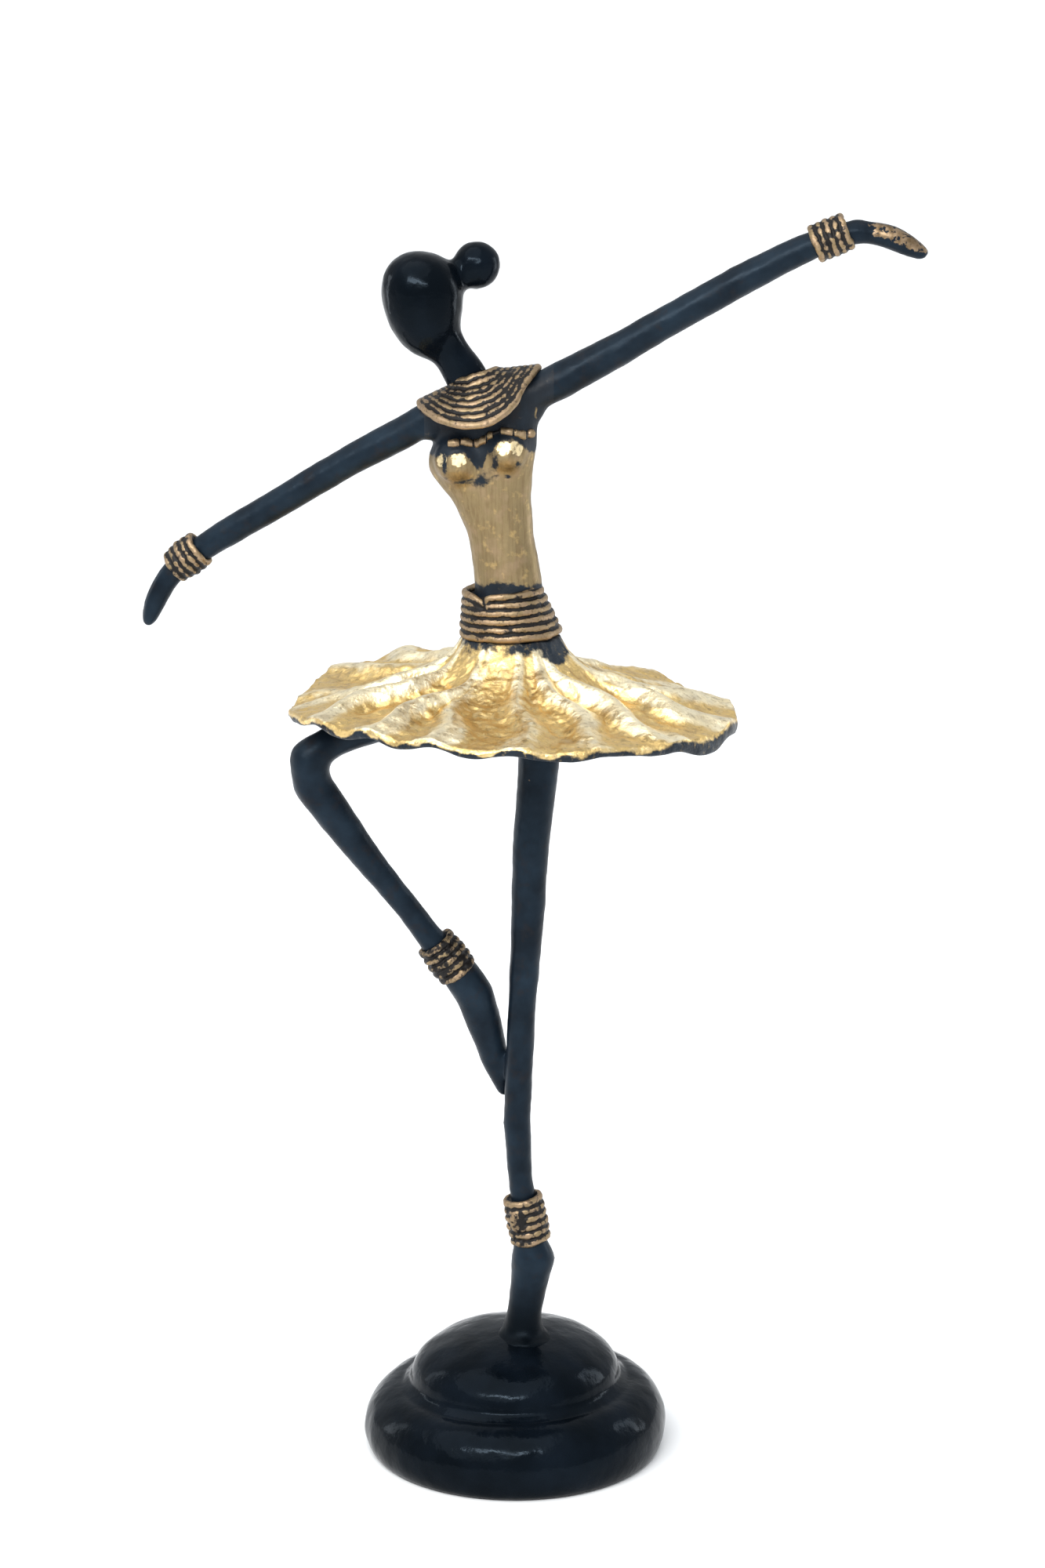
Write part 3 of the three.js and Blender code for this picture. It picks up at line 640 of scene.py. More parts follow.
def zinc_plate(colours):
    """Zinc-plated steel: even grey with a faint cloudy bloom."""
    material, tree, place = new_finish("zinc_plated_steel")
    shade = coats(tree, colours.zinc, (drift(tree, place, 2.0, 0.3, 0.7), colours.bloom))
    rough = drift(tree, place, 1.5, 0.3, 0.7, 3.0, 0.35, 0.5)
    finish_with(tree, shade, 1.0, rough, dents(tree, place, 0.7, 0.02), 0.5)
    return material


def matt_paper(shade):
    """Uncoated white paper for the floor: an even white with no shine."""
    material, tree, _ = new_finish("matt_white_paper")
    shader = add(tree, "ShaderNodeBsdfDiffuse", {"Color": shade}).outputs["BSDF"]
    add(tree, "ShaderNodeOutputMaterial", {"Surface": shader})
    return material


# ---- Base ----


def rounded_quarter(centre, width, height, fullness, steps):
    """Points of one quarter of a rounded outline, from the side round to the top."""
    angle = np.linspace(0, pi / 2, steps)
    outward = centre[0] + width * np.cos(angle) ** (2 / fullness)
    upward = centre[1] + height * np.sin(angle) ** (2 / fullness)
    return np.stack([outward, upward], axis=1)


def base_outline(sizes, radius, height, inset):
    """Outline of the base from the foot ring to the top, drawn in by inset."""
    foot_inset = mm(sizes, "foot_inset")
    widest = mm(sizes, "tier_widest")
    dome = mm(sizes, "dome_radius")
    spring = mm(sizes, "dome_spring")
    tier = mm(sizes, "tier_height")
    share = np.linspace(0, 1, 12)
    belly = radius - foot_inset * (1 - np.sqrt(1 - (1 - share) ** 2)) - inset
    foot = np.stack([belly, widest * share], axis=1)[:-1]
    shoulder = dome + mm(sizes, "shelf")
    lower = rounded_quarter(
        (shoulder, widest), radius - shoulder - inset, tier - widest - inset, 1.9, 34
    )
    step = rounded_quarter((dome - 1 - inset, tier - 0.8 - inset), 3.8, 2.6, 2.6, 9)
    upper = rounded_quarter((0, spring), dome - inset, height - spring - inset, 2.12, 40)
    return np.concatenate([foot, lower, step, upper])


class DANCER_OT_base(bpy.types.Operator):
    """Turn the hollow two-tier base and work its surface by hand"""

    bl_idname = "dancer.base"
    bl_label = "Domed base"

    def execute(self, context):
        sizes = context.scene.dancer_base
        low, high = low_of("base"), high_of("base")
        centre = (low + high) / 2
        radius = (high[1] - low[1]) / 2
        height = high[2] + mm(sizes, "crown")
        outer = base_outline(sizes, radius, height, 0)
        inner = base_outline(sizes, radius, height, mm(sizes, "wall"))[::-3]
        inner[-1, 1] = 0
        profile = np.concatenate([inner, outer])
        reach, rise = profile.T
        wide, deep = np.outer(reach, RIGHT), np.outer(reach, BACK)
        points, faces = grid_shell(rings_round(np.outer(rise, UP), wide, deep, 288))
        # The casting is a touch higher towards +X.
        lean = 0.021
        widest = mm(sizes, "tier_widest")
        points[:, 2] += lean * points[:, 0] * np.clip(points[:, 2] / widest, 0, 1)
        points += (centre[0], centre[1], 0)
        piece = surface("domed_base", points, faces)
        # The step between the tiers melts, and the foot ring stays crisp.
        places = points_of(piece)
        melted = relaxed(places, edges_of(piece), 26)
        free = smoothstep(1.5, 9, places[:, 2])[:, None]
        move_to(piece, places + free * (melted - places))
        places = points_of(piece)
        free = smoothstep(0, 6, places[:, 2])
        wave = mm(sizes, "waviness")
        swell(piece, free * wave * (lumps(places, 17, 3) + 0.45 * lumps(places, 7, 4)))
        places = points_of(piece)
        places[:, 2] = np.maximum(places[:, 2], 0)
        move_to(piece, places)
        seat(piece, ["base"], waxed_black(context.scene.dancer_colours))
        return {"FINISHED"}


class DANCER_OT_fixings(bpy.types.Operator):
    """Plate the stud, washer and nut under the base"""

    bl_idname = "dancer.fixings"
    bl_label = "Fixings"

    def execute(self, context):
        material = zinc_plate(context.scene.dancer_colours)
        for node in ("base_stud", "base_washer", "base_nut"):
            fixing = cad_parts[node]
            for place in fixing.material_slots:
                place.material = material
        return {"FINISHED"}


# ---- Figure ----


def figure_shells(sizes, nodes):
    """The grown shells of several CAD nodes."""
    return [node_shell(node, mm(sizes, "seam_cover")) for node in nodes]


def hand_modelled(piece, sizes, seed):
    """Adds the soft lumps that fingers leave in wax."""
    places = points_of(piece)
    depth = mm(sizes, "lumps")
    size = mm(sizes, "lump_size")
    swell(piece, depth * (lumps(places, size, seed) + 0.4 * lumps(places, size / 3, seed + 1)))


# How the toe spreads into the dome: heights over its top, and radii there.
TOE_FLARE = ((-1.8, 13.0), (-0.9, 10.4), (0.0, 8.4), (1.3, 7.0), (3.0, 6.1), (5.2, 5.4))


def worn_specks(places, seed):
    """Small spots where the black is worn thin."""
    return 0.19 * smoothstep(0.5, 0.75, lumps(places, 3, seed))


class DANCER_OT_legs(bpy.types.Operator):
    """Fuse both legs, the hips and the bead of braze at the toe into one cast surface"""

    bl_idname = "dancer.legs"
    bl_label = "Legs"

    def execute(self, context):
        sizes = context.scene.dancer_figure
        nodes = [
            "standing_foot", "standing_leg", "raised_thigh", "raised_shin", "raised_foot", "hips",
        ]
        shells = figure_shells(sizes, nodes)
        # The sole sinks a little into the dome's crown.
        sole = middle_of("base_stud")
        sole[2] = high_of("base")[2] + mm(context.scene.dancer_base, "crown") - 0.6
        steps, radii = np.array(TOE_FLARE).T
        path = sole + np.outer(steps, (-0.3, 0.6, 1.0))
        wide, deep = np.outer(radii, RIGHT), np.outer(radii, BACK)
        shells.append(grid_shell(rings_round(path, wide, deep, 48)))
        shells.append(bead_shell(sole + (0.8, -8.6, -0.7), (2.4, 2.8, 1.6)))
        piece = fused("legs_and_hips", shells, mm(sizes, "voxel"), 40)
        # The knee is the top of the raised shin, and is rounded more than the rest.
        shin, _ = node_shell("raised_shin", 0)
        knee_height = 8
        knee = shin[shin[:, 2] > shin[:, 2].max() - knee_height].mean(axis=0)
        apart = np.linalg.norm(points_of(piece) - knee, axis=1)
        fair(piece, 110, smoothstep(21, 9, apart)[:, None])
        hand_modelled(piece, sizes, 11)
        places = points_of(piece)
        # Waxed black over the toe flare, then painted shade fading up the foot where it stands on
        # the base.
        paint(piece, "wax", smoothstep(sole[2] + 22, sole[2] + 5, places[:, 2]))
        paint(piece, "bare", worn_specks(places, 21))
        seat(piece, nodes, blued_patina(context.scene.dancer_colours))
        return {"FINISHED"}


class DANCER_OT_head(bpy.types.Operator):
    """Fuse the smooth head, its bun and the neck"""

    bl_idname = "dancer.head"
    bl_label = "Head and neck"

    def execute(self, context):
        sizes = context.scene.dancer_figure
        nodes = ["head", "hair_bun", "neck"]
        # The neck spreads where it goes down into the collar.
        root = np.array((high_of("neck")[0] - 4.6, middle_of("neck")[1], low_of("neck")[2] + 4))
        slope = np.array((0.62, 0.0, -0.78))
        path = np.array([root + slope * along for along in (-15, -6, 1, 6, 12)])
        shells = figure_shells(sizes, nodes)
        shells.append(rod_shell(path, np.array((4.0, 5.4, 6.2, 7.4, 9.0)), 40))
        piece = fused("head_and_neck", shells, mm(sizes, "voxel"), 60)
        hand_modelled(piece, sizes, 31)
        seat(piece, nodes, waxed_black(context.scene.dancer_colours))
        return {"FINISHED"}


# The next tables give steps across and up from the middle of the torso's box, in millimetres.
NECKLINE = (
    (-13.0, 23.3), (-7.8, 24.0), (-5.0, 23.1), (-2.2, 24.2), (0.6, 26.4),
    (4.1, 27.8), (8.2, 27.1), (11.8, 25.9), (14.2, 26.6),
)
# Upper edge of the bare gold, which dips between the breasts.
BARE_EDGE = (
    (-19.0, 18.6), (-12.8, 19.8), (-8.0, 20.6), (-5.8, 17.6), (-4.2, 14.6), (-2.0, 15.0),
    (-0.8, 19.4), (1.0, 21.4), (3.6, 24.6), (8.0, 24.8), (10.6, 23.2), (13.4, 20.4), (20.0, 18.2),
)
# Black stains below that edge, with their half-widths and half-heights.
STAINS = (
    (-14.4, 16.0, 1.1, 4.4), (-2.6, 11.2, 4.0, 2.4), (2.0, 17.6, 1.4, 4.2), (9.6, 16.8, 1.3, 1.5),
    (6.0, 12.6, 1.6, 1.0), (-8.8, 10.6, 2.6, 0.9),
)
# Bare mark through the black below the raised shoulder: partly a scratch, partly the painted
# highlight of a small raised strip.
SCRATCH_AND_HIGHLIGHT = (15.4, 33.6, 0.45, 1.9)
# The two breasts: steps across, forward (which is minus) and up, and their radius.
BREASTS = ((-9.0, -6.0, 17.0, 8.8), (6.6, -8.0, 20.6, 8.4))
# Directions that the scraper flattened each breast from, in the same order.
SCRAPED = (
    ((0.08, -0.98, 0.14), (-0.74, -0.66, 0.1)),
    ((-0.2, -0.95, 0.24), (0.5, -0.84, 0.22)),
)


def spot(across, upward, place):
    """1 in the middle of an oval spot, fading out at its edge."""
    step_x, step_z, half_width, half_height = place
    return np.exp(-((across - step_x) / half_width) ** 2 - ((upward - step_z) / half_height) ** 2)


def bodice_bare(places):
    """Where the torso is bare gold rather than black, from 0 to 1."""
    centre = middle_of("torso")
    across, _, upward = (places - centre).T
    edge = np.interp(across, *np.array(BARE_EDGE).T)
    bare = smoothstep(1.4, -1.4, upward - edge)
    belt_top = high_of("waist_belt")[2] - centre[2]
    bare *= smoothstep(1.0, 4.2, upward - belt_top - 0.8 * np.sin(across / 3))
    front = places[:, 1] < centre[1]
    for stain in STAINS:
        bare *= 1 - 0.86 * front * spot(across, upward, stain)
    # The mark below the raised shoulder is partly a scratch and partly a painted highlight.
    return np.maximum(bare, 0.8 * front * spot(across, upward, SCRATCH_AND_HIGHLIGHT))


def scrape(piece, depth):
    """Flattens the breasts by depth millimetres and returns how far each vertex is on a flat."""
    places = points_of(piece)
    centre = middle_of("torso")
    flat = np.zeros(len(places))
    for (step_x, step_y, step_z, radius), directions in zip(BREASTS, SCRAPED):
        middle = centre + (step_x, step_y, step_z)
        for direction in directions:
            facing = np.array(direction) / np.linalg.norm(direction)
            height = (places - middle) @ facing
            aside = np.linalg.norm(places - middle - height[:, None] * facing, axis=1) / radius
            level = height[aside < 0.4].max() - depth
            over = np.maximum(height - level, 0) * smoothstep(0.56, 0.46, aside)
            places -= 0.9 * over[:, None] * facing
            flat = np.maximum(flat, smoothstep(0.05, 0.35, over))
    move_to(piece, places)
    return flat


# Wax pressed into the armpits: place from the middle of the torso's box, and half-sizes.
WEBS = (((15.4, 0.0, 33.8), (3.2, 4.4, 4.6)), ((-19.4, 0.0, 25.8), (3.8, 4.0, 2.6)))


class DANCER_OT_upper_body(bpy.types.Operator):
    """Fuse the torso and both arms, then part them at the shoulders"""

    bl_idname = "dancer.upper_body"
    bl_label = "Torso and arms"

    def execute(self, context):
        scene = context.scene
        sizes = scene.dancer_figure
        nodes = ["torso", "lowered_arm", "lowered_hand", "raised_arm", "raised_hand"]
        shells = figure_shells(sizes, nodes)
        for place, half_sizes in WEBS:
            shells.append(bead_shell(middle_of("torso") + place, half_sizes))
        whole = fused("upper_body", shells, mm(sizes, "voxel"), 40)
        hand_modelled(whole, sizes, 41)
        patina = blued_patina(scene.dancer_colours)
        left = low_of("torso")[0] - 0.8
        right = high_of("torso")[0] + 0.8

        lowered = keep_side(whole, "lowered_arm_and_hand", left, -1)
        paint(lowered, "bare", worn_specks(points_of(lowered), 43))
        seat(lowered, ["lowered_arm", "lowered_hand"], patina)

        raised = keep_side(whole, "raised_arm_and_hand", right, 1)
        places = points_of(raised)
        wrist = high_of("raised_bracelet")[0]
        past_wrist = smoothstep(wrist + 1, wrist + 8, places[:, 0])
        # Bare gold on the hand's upper side: partly rubbed bronze, partly a painted highlight where
        # the light from above and in front falls.
        worn_and_lit_top = smoothstep(-0.1, 0.55, normals_of(raised) @ np.array((0.15, -0.45, 0.88)))
        specks = worn_specks(places, 44)
        paint(raised, "bare", np.maximum(past_wrist * worn_and_lit_top * 0.58, specks))
        seat(raised, ["raised_arm", "raised_hand"], patina)

        inner = keep_side(whole, "inner_body", left, 1)
        torso = keep_side(inner, "torso_and_bodice", right, -1)
        paint(torso, "facet", 0.66 * scrape(torso, 0.7))
        paint(torso, "bare", bodice_bare(points_of(torso)))
        seat(torso, ["torso"], brushed_bodice(scene.dancer_colours))
        for spare in (whole, inner):
            bpy.data.objects.remove(spare)
        return {"FINISHED"}


# ---- Skirt ----

# Height of the rim above its mean, in millimetres, by angle from the front towards +X.
RIM_WAVE = (
    (-170, 1.6), (-149, 7.2), (-139, 2.4), (-127, 5.0), (-99, -2.4), (-85, 0.2), (-63, 2.9),
    (-46, 2.8), (-33, 2.2), (-26, 2.4), (-7, 0.4), (2, 1.4), (21, -0.8), (28, 0.4), (43, -1.7),
    (66, -3.2), (101, -2.3), (125, -4.4), (137, 1.6), (152, -2.6), (170, -0.4),
)
# Angles of the fold crests at the rim, in degrees from the front towards +X.
FOLD_CRESTS = (-165, -148, -124, -101, -80, -60, -40, -19, 3, 24, 47, 70, 96, 122, 140, 160)


def rim_wave(angle):
    """Height of the rim above its mean at each angle in degrees, in millimetres."""
    steps = np.array(RIM_WAVE)
    spread = (-6, -3, 0, 3, 6)
    samples = [np.interp(angle + shift, *steps.T, period=360) for shift in spread]
    return np.mean(samples, axis=0)


def fold_share(angle, radius_share):
    """1 on a fold's crest and 0 in the hollow between two folds."""
    crests = np.array(FOLD_CRESTS, dtype=float)
    best = np.zeros_like(angle)
    for place, crest in enumerate(crests):
        before = (crest - crests[place - 1]) % 360
        after = (crests[(place + 1) % len(crests)] - crest) % 360
        bend = 9 * sin(2.4 * place) * (1 - radius_share) + 3 * np.sin(9 * radius_share + place)
        apart = (angle - crest - bend + 180) % 360 - 180
        half = np.where(apart < 0, before, after) / 2
        share = np.clip(np.abs(apart) / half, 0, 1)
        height = 0.72 + 0.28 * np.sin(5.1 * place + 2.5 * radius_share)
        best = np.maximum(best, height * (0.5 + 0.5 * np.cos(pi * share)) ** 1.45)
    return best


SKIRT_SIDES, TOP_ROWS, UNDER_ROWS = 640, 104, 22
# How far round the rim each row of the lip is, from the upper side at 0 to the lower side at 1.
LIP_SHARES = np.arange(1, 6) / 6


def skirt_top(sizes, radius_share, angle):
    """Places on the skirt's upper side, and how near each one is to a fold's crest."""
    low, high = low_of("skirt"), high_of("skirt")
    centre = (low + high) / 2
    neck_radius = mm(sizes, "neck_radius")
    fall = mm(sizes, "fall")
    rim_radius = (high[1] - low[1]) / 2 * (1 + 0.01 * np.sin(np.radians(5 * angle + 40)))
    radius = neck_radius + (rim_radius - neck_radius) * radius_share
    inward = 1 - radius_share
    rise = fall * (0.54 * inward + 0.46 * inward ** 9)
    fold = fold_share(angle, radius_share)
    growth = smoothstep(-0.08, 0.4, radius_share)
    growth *= 1 - 0.64 * smoothstep(0.66, 1, radius_share)
    ridge = mm(sizes, "ridge_height") * growth * (fold - 0.45)
    wave = rim_wave(angle) * smoothstep(0.12, 1, radius_share)
    height = high[2] - fall + rise + ridge + wave
    turn = np.radians(angle)
    place = np.stack([radius * np.sin(turn), -radius * np.cos(turn), height], axis=-1)
    return place + (centre[0], centre[1], 0), fold


def skirt_rings(sizes):
    """Rings from the neck out to the rim, round the lip and back underneath, and the folds."""
    around = np.degrees(even_turns(SKIRT_SIDES)) - 180
    share = np.linspace(0, 1, TOP_ROWS) ** 1.15
    top, fold = skirt_top(sizes, *np.meshgrid(share, around, indexing="ij"))
    share, angle = np.meshgrid(np.linspace(1, 0, UNDER_ROWS), around, indexing="ij")
    under, _ = skirt_top(sizes, share, angle)
    wall = mm(sizes, "wall")
    heavy = smoothstep(25, 55, angle) * smoothstep(100, 80, angle)
    thick = wall * (1 + 0.55 * (1 - share) ** 6)
    thick *= 1 + 0.85 * heavy * smoothstep(0.8, 1, share)
    under[..., 2] -= thick * (1 + 0.12 * np.sin(np.radians(7 * angle)))
    turn = np.radians(around)
    outward = np.stack([np.sin(turn), -np.cos(turn), np.zeros(SKIRT_SIDES)], axis=-1)
    lip = []
    for swing in pi * LIP_SHARES:
        bulge = outward * (0.34 * wall * sin(swing))
        mixed = top[-1] * (0.5 + 0.5 * cos(swing)) + under[0] * (0.5 - 0.5 * cos(swing))
        lip.append(mixed + bulge)
    inner = under[-1].copy()
    inner[:, 2] = high_of("skirt")[2] - wall - 1
    return np.concatenate([top, np.array(lip), under, inner[None]]), fold


class DANCER_OT_skirt(bpy.types.Operator):
    """Raise the flaring skirt with its folds, hammered hollows and thick rim"""

    bl_idname = "dancer.skirt"
    bl_label = "Skirt"

    def execute(self, context):
        sizes = context.scene.dancer_skirt
        rings, fold = skirt_rings(sizes)
        points, faces = grid_shell(rings[::-1])
        piece = surface("flared_skirt", points, faces)

        def on_vertices(by_ring):
            """Values by ring, given in the order of the piece's vertices."""
            values = np.zeros(len(points))
            values[:by_ring.size] = by_ring[::-1].ravel()
            return values

        # How near each vertex is to a fold's crest, and how far round the rim it is.
        by_ring = np.zeros(rings.shape[:2])
        by_ring[:TOP_ROWS] = fold
        crest = on_vertices(by_ring)
        by_ring = np.ones(rings.shape[:2])
        by_ring[:TOP_ROWS] = 0
        by_ring[TOP_ROWS:TOP_ROWS + len(LIP_SHARES)] = LIP_SHARES[:, None]
        over_rim = on_vertices(by_ring)
        upper = (over_rim == 0).astype(float)

        centre = middle_of("skirt")
        rim_radius = high_of("skirt")[1] - centre[1]
        neck_radius = mm(sizes, "neck_radius")
        places = points_of(piece)
        radius = np.hypot(places[:, 0] - centre[0], places[:, 1] - centre[1])
        reach = (radius - neck_radius) / (rim_radius - neck_radius)
        size = mm(sizes, "hammer_size")
        marks = lumps(places, size, 51) + 0.5 * lumps(places, size / 2, 52)
        hollow = 1 - smoothstep(0.25, 0.85, crest)
        hammered = 0.5 * mm(sizes, "hammer_depth") * hollow * upper * marks
        planes = (0.3 + 0.28 * upper) * (lumps(places, 11, 53) + 0.5 * lumps(places, 5, 54))
        outwards = (places - centre)[:, :2] / radius[:, None]
        rays = np.column_stack([outwards * 5.5, reach * 1.6])
        crease = mm(sizes, "crease_height") * (1 - 2.6 * np.abs(lumps(rays, 1.0, 56)))
        crease *= upper * smoothstep(0.02, 0.3, reach)
        swell(piece, smoothstep(0.0, 0.1, reach) * (hammered + planes + crease))

        # Black stays round the neck, in a patch on its right, and under the heavy lip.
        places = points_of(piece)
        angle = np.degrees(np.arctan2(places[:, 0] - centre[0], -(places[:, 1] - centre[1])))
        uneven = lumps(places, 6, 55)
        heavy = smoothstep(25, 50, angle) * smoothstep(105, 85, angle)
        edge = np.maximum(0.5 - 0.32 * heavy + 0.5 * uneven, 0.2)
        bare = smoothstep(edge + 0.2, edge - 0.2, over_rim)
        patch = smoothstep(25, 42, angle) * smoothstep(90, 66, angle)
        bare *= smoothstep(-0.01, 0.055, reach - 0.055 * patch + 0.03 * uneven)
        paint(piece, "bare", bare)
        # The fold hollows take the deeper gold, partly as hammered finish and partly as painted
        # shade; the underside takes most of it too.
        paint(piece, "hollow", np.where(upper, smoothstep(0.7, 0.1, crest), 0.8))
        seat(piece, ["skirt"], polished_skirt(context.scene.dancer_colours))
        return {"FINISHED"}


# ---- Bands ----


def ring_frame(axis):
    """Two directions across an axis, the first one pointing forward."""
    axis = np.array(axis, dtype=float)
    axis /= np.linalg.norm(axis)
    front = np.array((0.0, -1.0, 0.0))
    front -= axis * front.dot(axis)
    front /= np.linalg.norm(front)
    return axis, front, np.cross(axis, front)


def strand_places(turn, radius, level):
    """Places to read noise at, round a circle, so that a thread meets itself again."""
    levels = np.full(len(turn), level)
    return np.stack([np.cos(turn) * radius, np.sin(turn) * radius, levels], axis=1)


def thread_loops(sizes, centre, axis, heights, radii, seed, dive=None, stack=None):
    """Shells of threads wound round an axis and stacked along it, or along a leaning line.

    dive gives the angle where a thread's end dips, its width in degrees, its drop and its threads.
    """
    axis, front, side = ring_frame(axis)
    stack = axis if stack is None else np.array(stack)
    pitch = mm(sizes, "pitch")
    wander = mm(sizes, "wander")
    turn = even_turns(96)
    outward = np.outer(np.cos(turn), front) + np.outer(np.sin(turn), side)
    shells = []
    for number, (height, radius) in enumerate(zip(heights, radii)):
        strand = strand_places(turn, 2.2, 3.1 * number)
        rise = height + wander * (lumps(strand, 1.0, seed) + 0.4 * lumps(strand, 0.4, seed + 1))
        reach = radius + 0.7 * wander * lumps(strand, 0.7, seed + 2)
        if dive:
            place, width, drop, threads = dive
            apart = (np.degrees(turn) - place + 180) % 360 - 180
            fall = smoothstep(-width, 0, apart) * (apart < 0)
            rise = rise - drop * fall * (number in threads)
        girth = 0.56 * pitch * (1 + 0.14 * lumps(strand, 0.5, seed + 3))
        path = centre + outward * reach[:, None] + stack * rise[:, None]
        shells.append(tube_shell(path, outward, girth, 0.82, sizes.sides))
    return shells


def barrel(centre, axis, heights, radii):
    """A solid core that closes the space behind the threads."""
    axis, front, side = ring_frame(axis)
    turn = even_turns(40)
    outward = np.outer(np.cos(turn), front) + np.outer(np.sin(turn), side)
    rings = [centre + outward * radius + axis * height for height, radius in zip(heights, radii)]
    return grid_shell(np.array(rings))


def rubbed(piece, amount, seed, groove=-0.08):
    """Paints the ridges as rubbed bare: a higher amount or a deeper groove leaves less black."""
    proud = relief(piece, 14)
    places = points_of(piece)
    patches = 0.34 * lumps(places, 4.5, seed)
    paint(piece, "bare", smoothstep(groove, groove + 0.3, proud) * amount + patches - 0.1)


# CAD node, axis or the two nodes it points between, threads, radii at the start, middle and end,
# length, how much is rubbed bare, and seed.
LIMB_BANDS = (
    ("standing_anklet", (-0.2, 0.0, 1.0), 6, (6.0, 6.4, 5.9), 16.5, 0.86, 61),
    ("raised_anklet", (0.583, 0.097, -0.807), 5, (5.9, 6.5, 6.2), 14.0, 0.62, 71),
    ("lowered_bracelet", ("lowered_arm", "lowered_hand"), 5, (5.3, 5.6, 4.7), 12.0, 0.8, 81),
    ("raised_bracelet", ("raised_arm", "raised_hand"), 5, (5.3, 5.5, 5.2), 12.0, 0.86, 91),
)


class DANCER_OT_limb_bands(bpy.types.Operator):
    """Wind the threads of the two anklets and two bracelets"""

    bl_idname = "dancer.limb_bands"
    bl_label = "Anklets and bracelets"

    def execute(self, context):
        sizes = context.scene.dancer_threads
        material = rubbed_thread(context.scene.dancer_colours)
        for name, axis, threads, radii, long, amount, seed in LIMB_BANDS:
            if isinstance(axis[0], str):
                axis = middle_of(axis[1]) - middle_of(axis[0])
            centre = middle_of(name)
            edge = (long - mm(sizes, "pitch")) / 2
            heights = np.linspace(-edge, edge, threads)
            along = np.linspace(0, 1, threads)
            widths = np.interp(along, (0, 0.5, 1), radii)
            shells = thread_loops(sizes, centre, axis, heights, widths, seed)
            core_heights = np.linspace(-edge - 0.4, edge + 0.4, threads)
            shells.append(barrel(centre, axis, core_heights, widths - 0.1))
            if name == "standing_anklet":
                # Wax was pressed over the front of these threads.
                patch = centre + (-2.8, -5.6, 1.0)
                shells.append(bead_shell(patch, (3.1, 1.9, 4.6)))
            piece = fused(name + "_threads", shells, mm(sizes, "voxel"), 4)
            rubbed(piece, amount, seed + 5)
            seat(piece, [name], material)
        return {"FINISHED"}


class DANCER_OT_belt(bpy.types.Operator):
    """Wind the belt, with the thread end that dives at its front"""

    bl_idname = "dancer.belt"
    bl_label = "Belt"

    def execute(self, context):
        sizes = context.scene.dancer_threads
        low, high = low_of("waist_belt"), high_of("waist_belt")
        centre = (low + high) / 2
        half = (high[2] - low[2]) / 2
        centre[0] -= 1.2
        # Each thread lies nearly level, while the stack of them leans with the waist.
        axis = (-0.03, 0.0, 1.0)
        stack = (-0.19, 0.0, 1.0)
        threads = 6
        edge = half - mm(sizes, "pitch") / 2
        heights = np.linspace(-edge, edge, threads)
        radii = np.linspace(16.1, 12.7, threads)
        dive = (-24, 34, 2.6, (5, 4))
        shells = thread_loops(sizes, centre, axis, heights, radii, 101, dive, stack)
        core = barrel(centre, stack, (-half + 0.3, half - 0.6), (15.4, 12.2))
        piece = fused("belt_threads", [*shells, core], mm(sizes, "voxel"), 4)
        rubbed(piece, 0.92, 106, -0.1)
        seat(piece, ["waist_belt"], rubbed_thread(context.scene.dancer_colours))
        return {"FINISHED"}


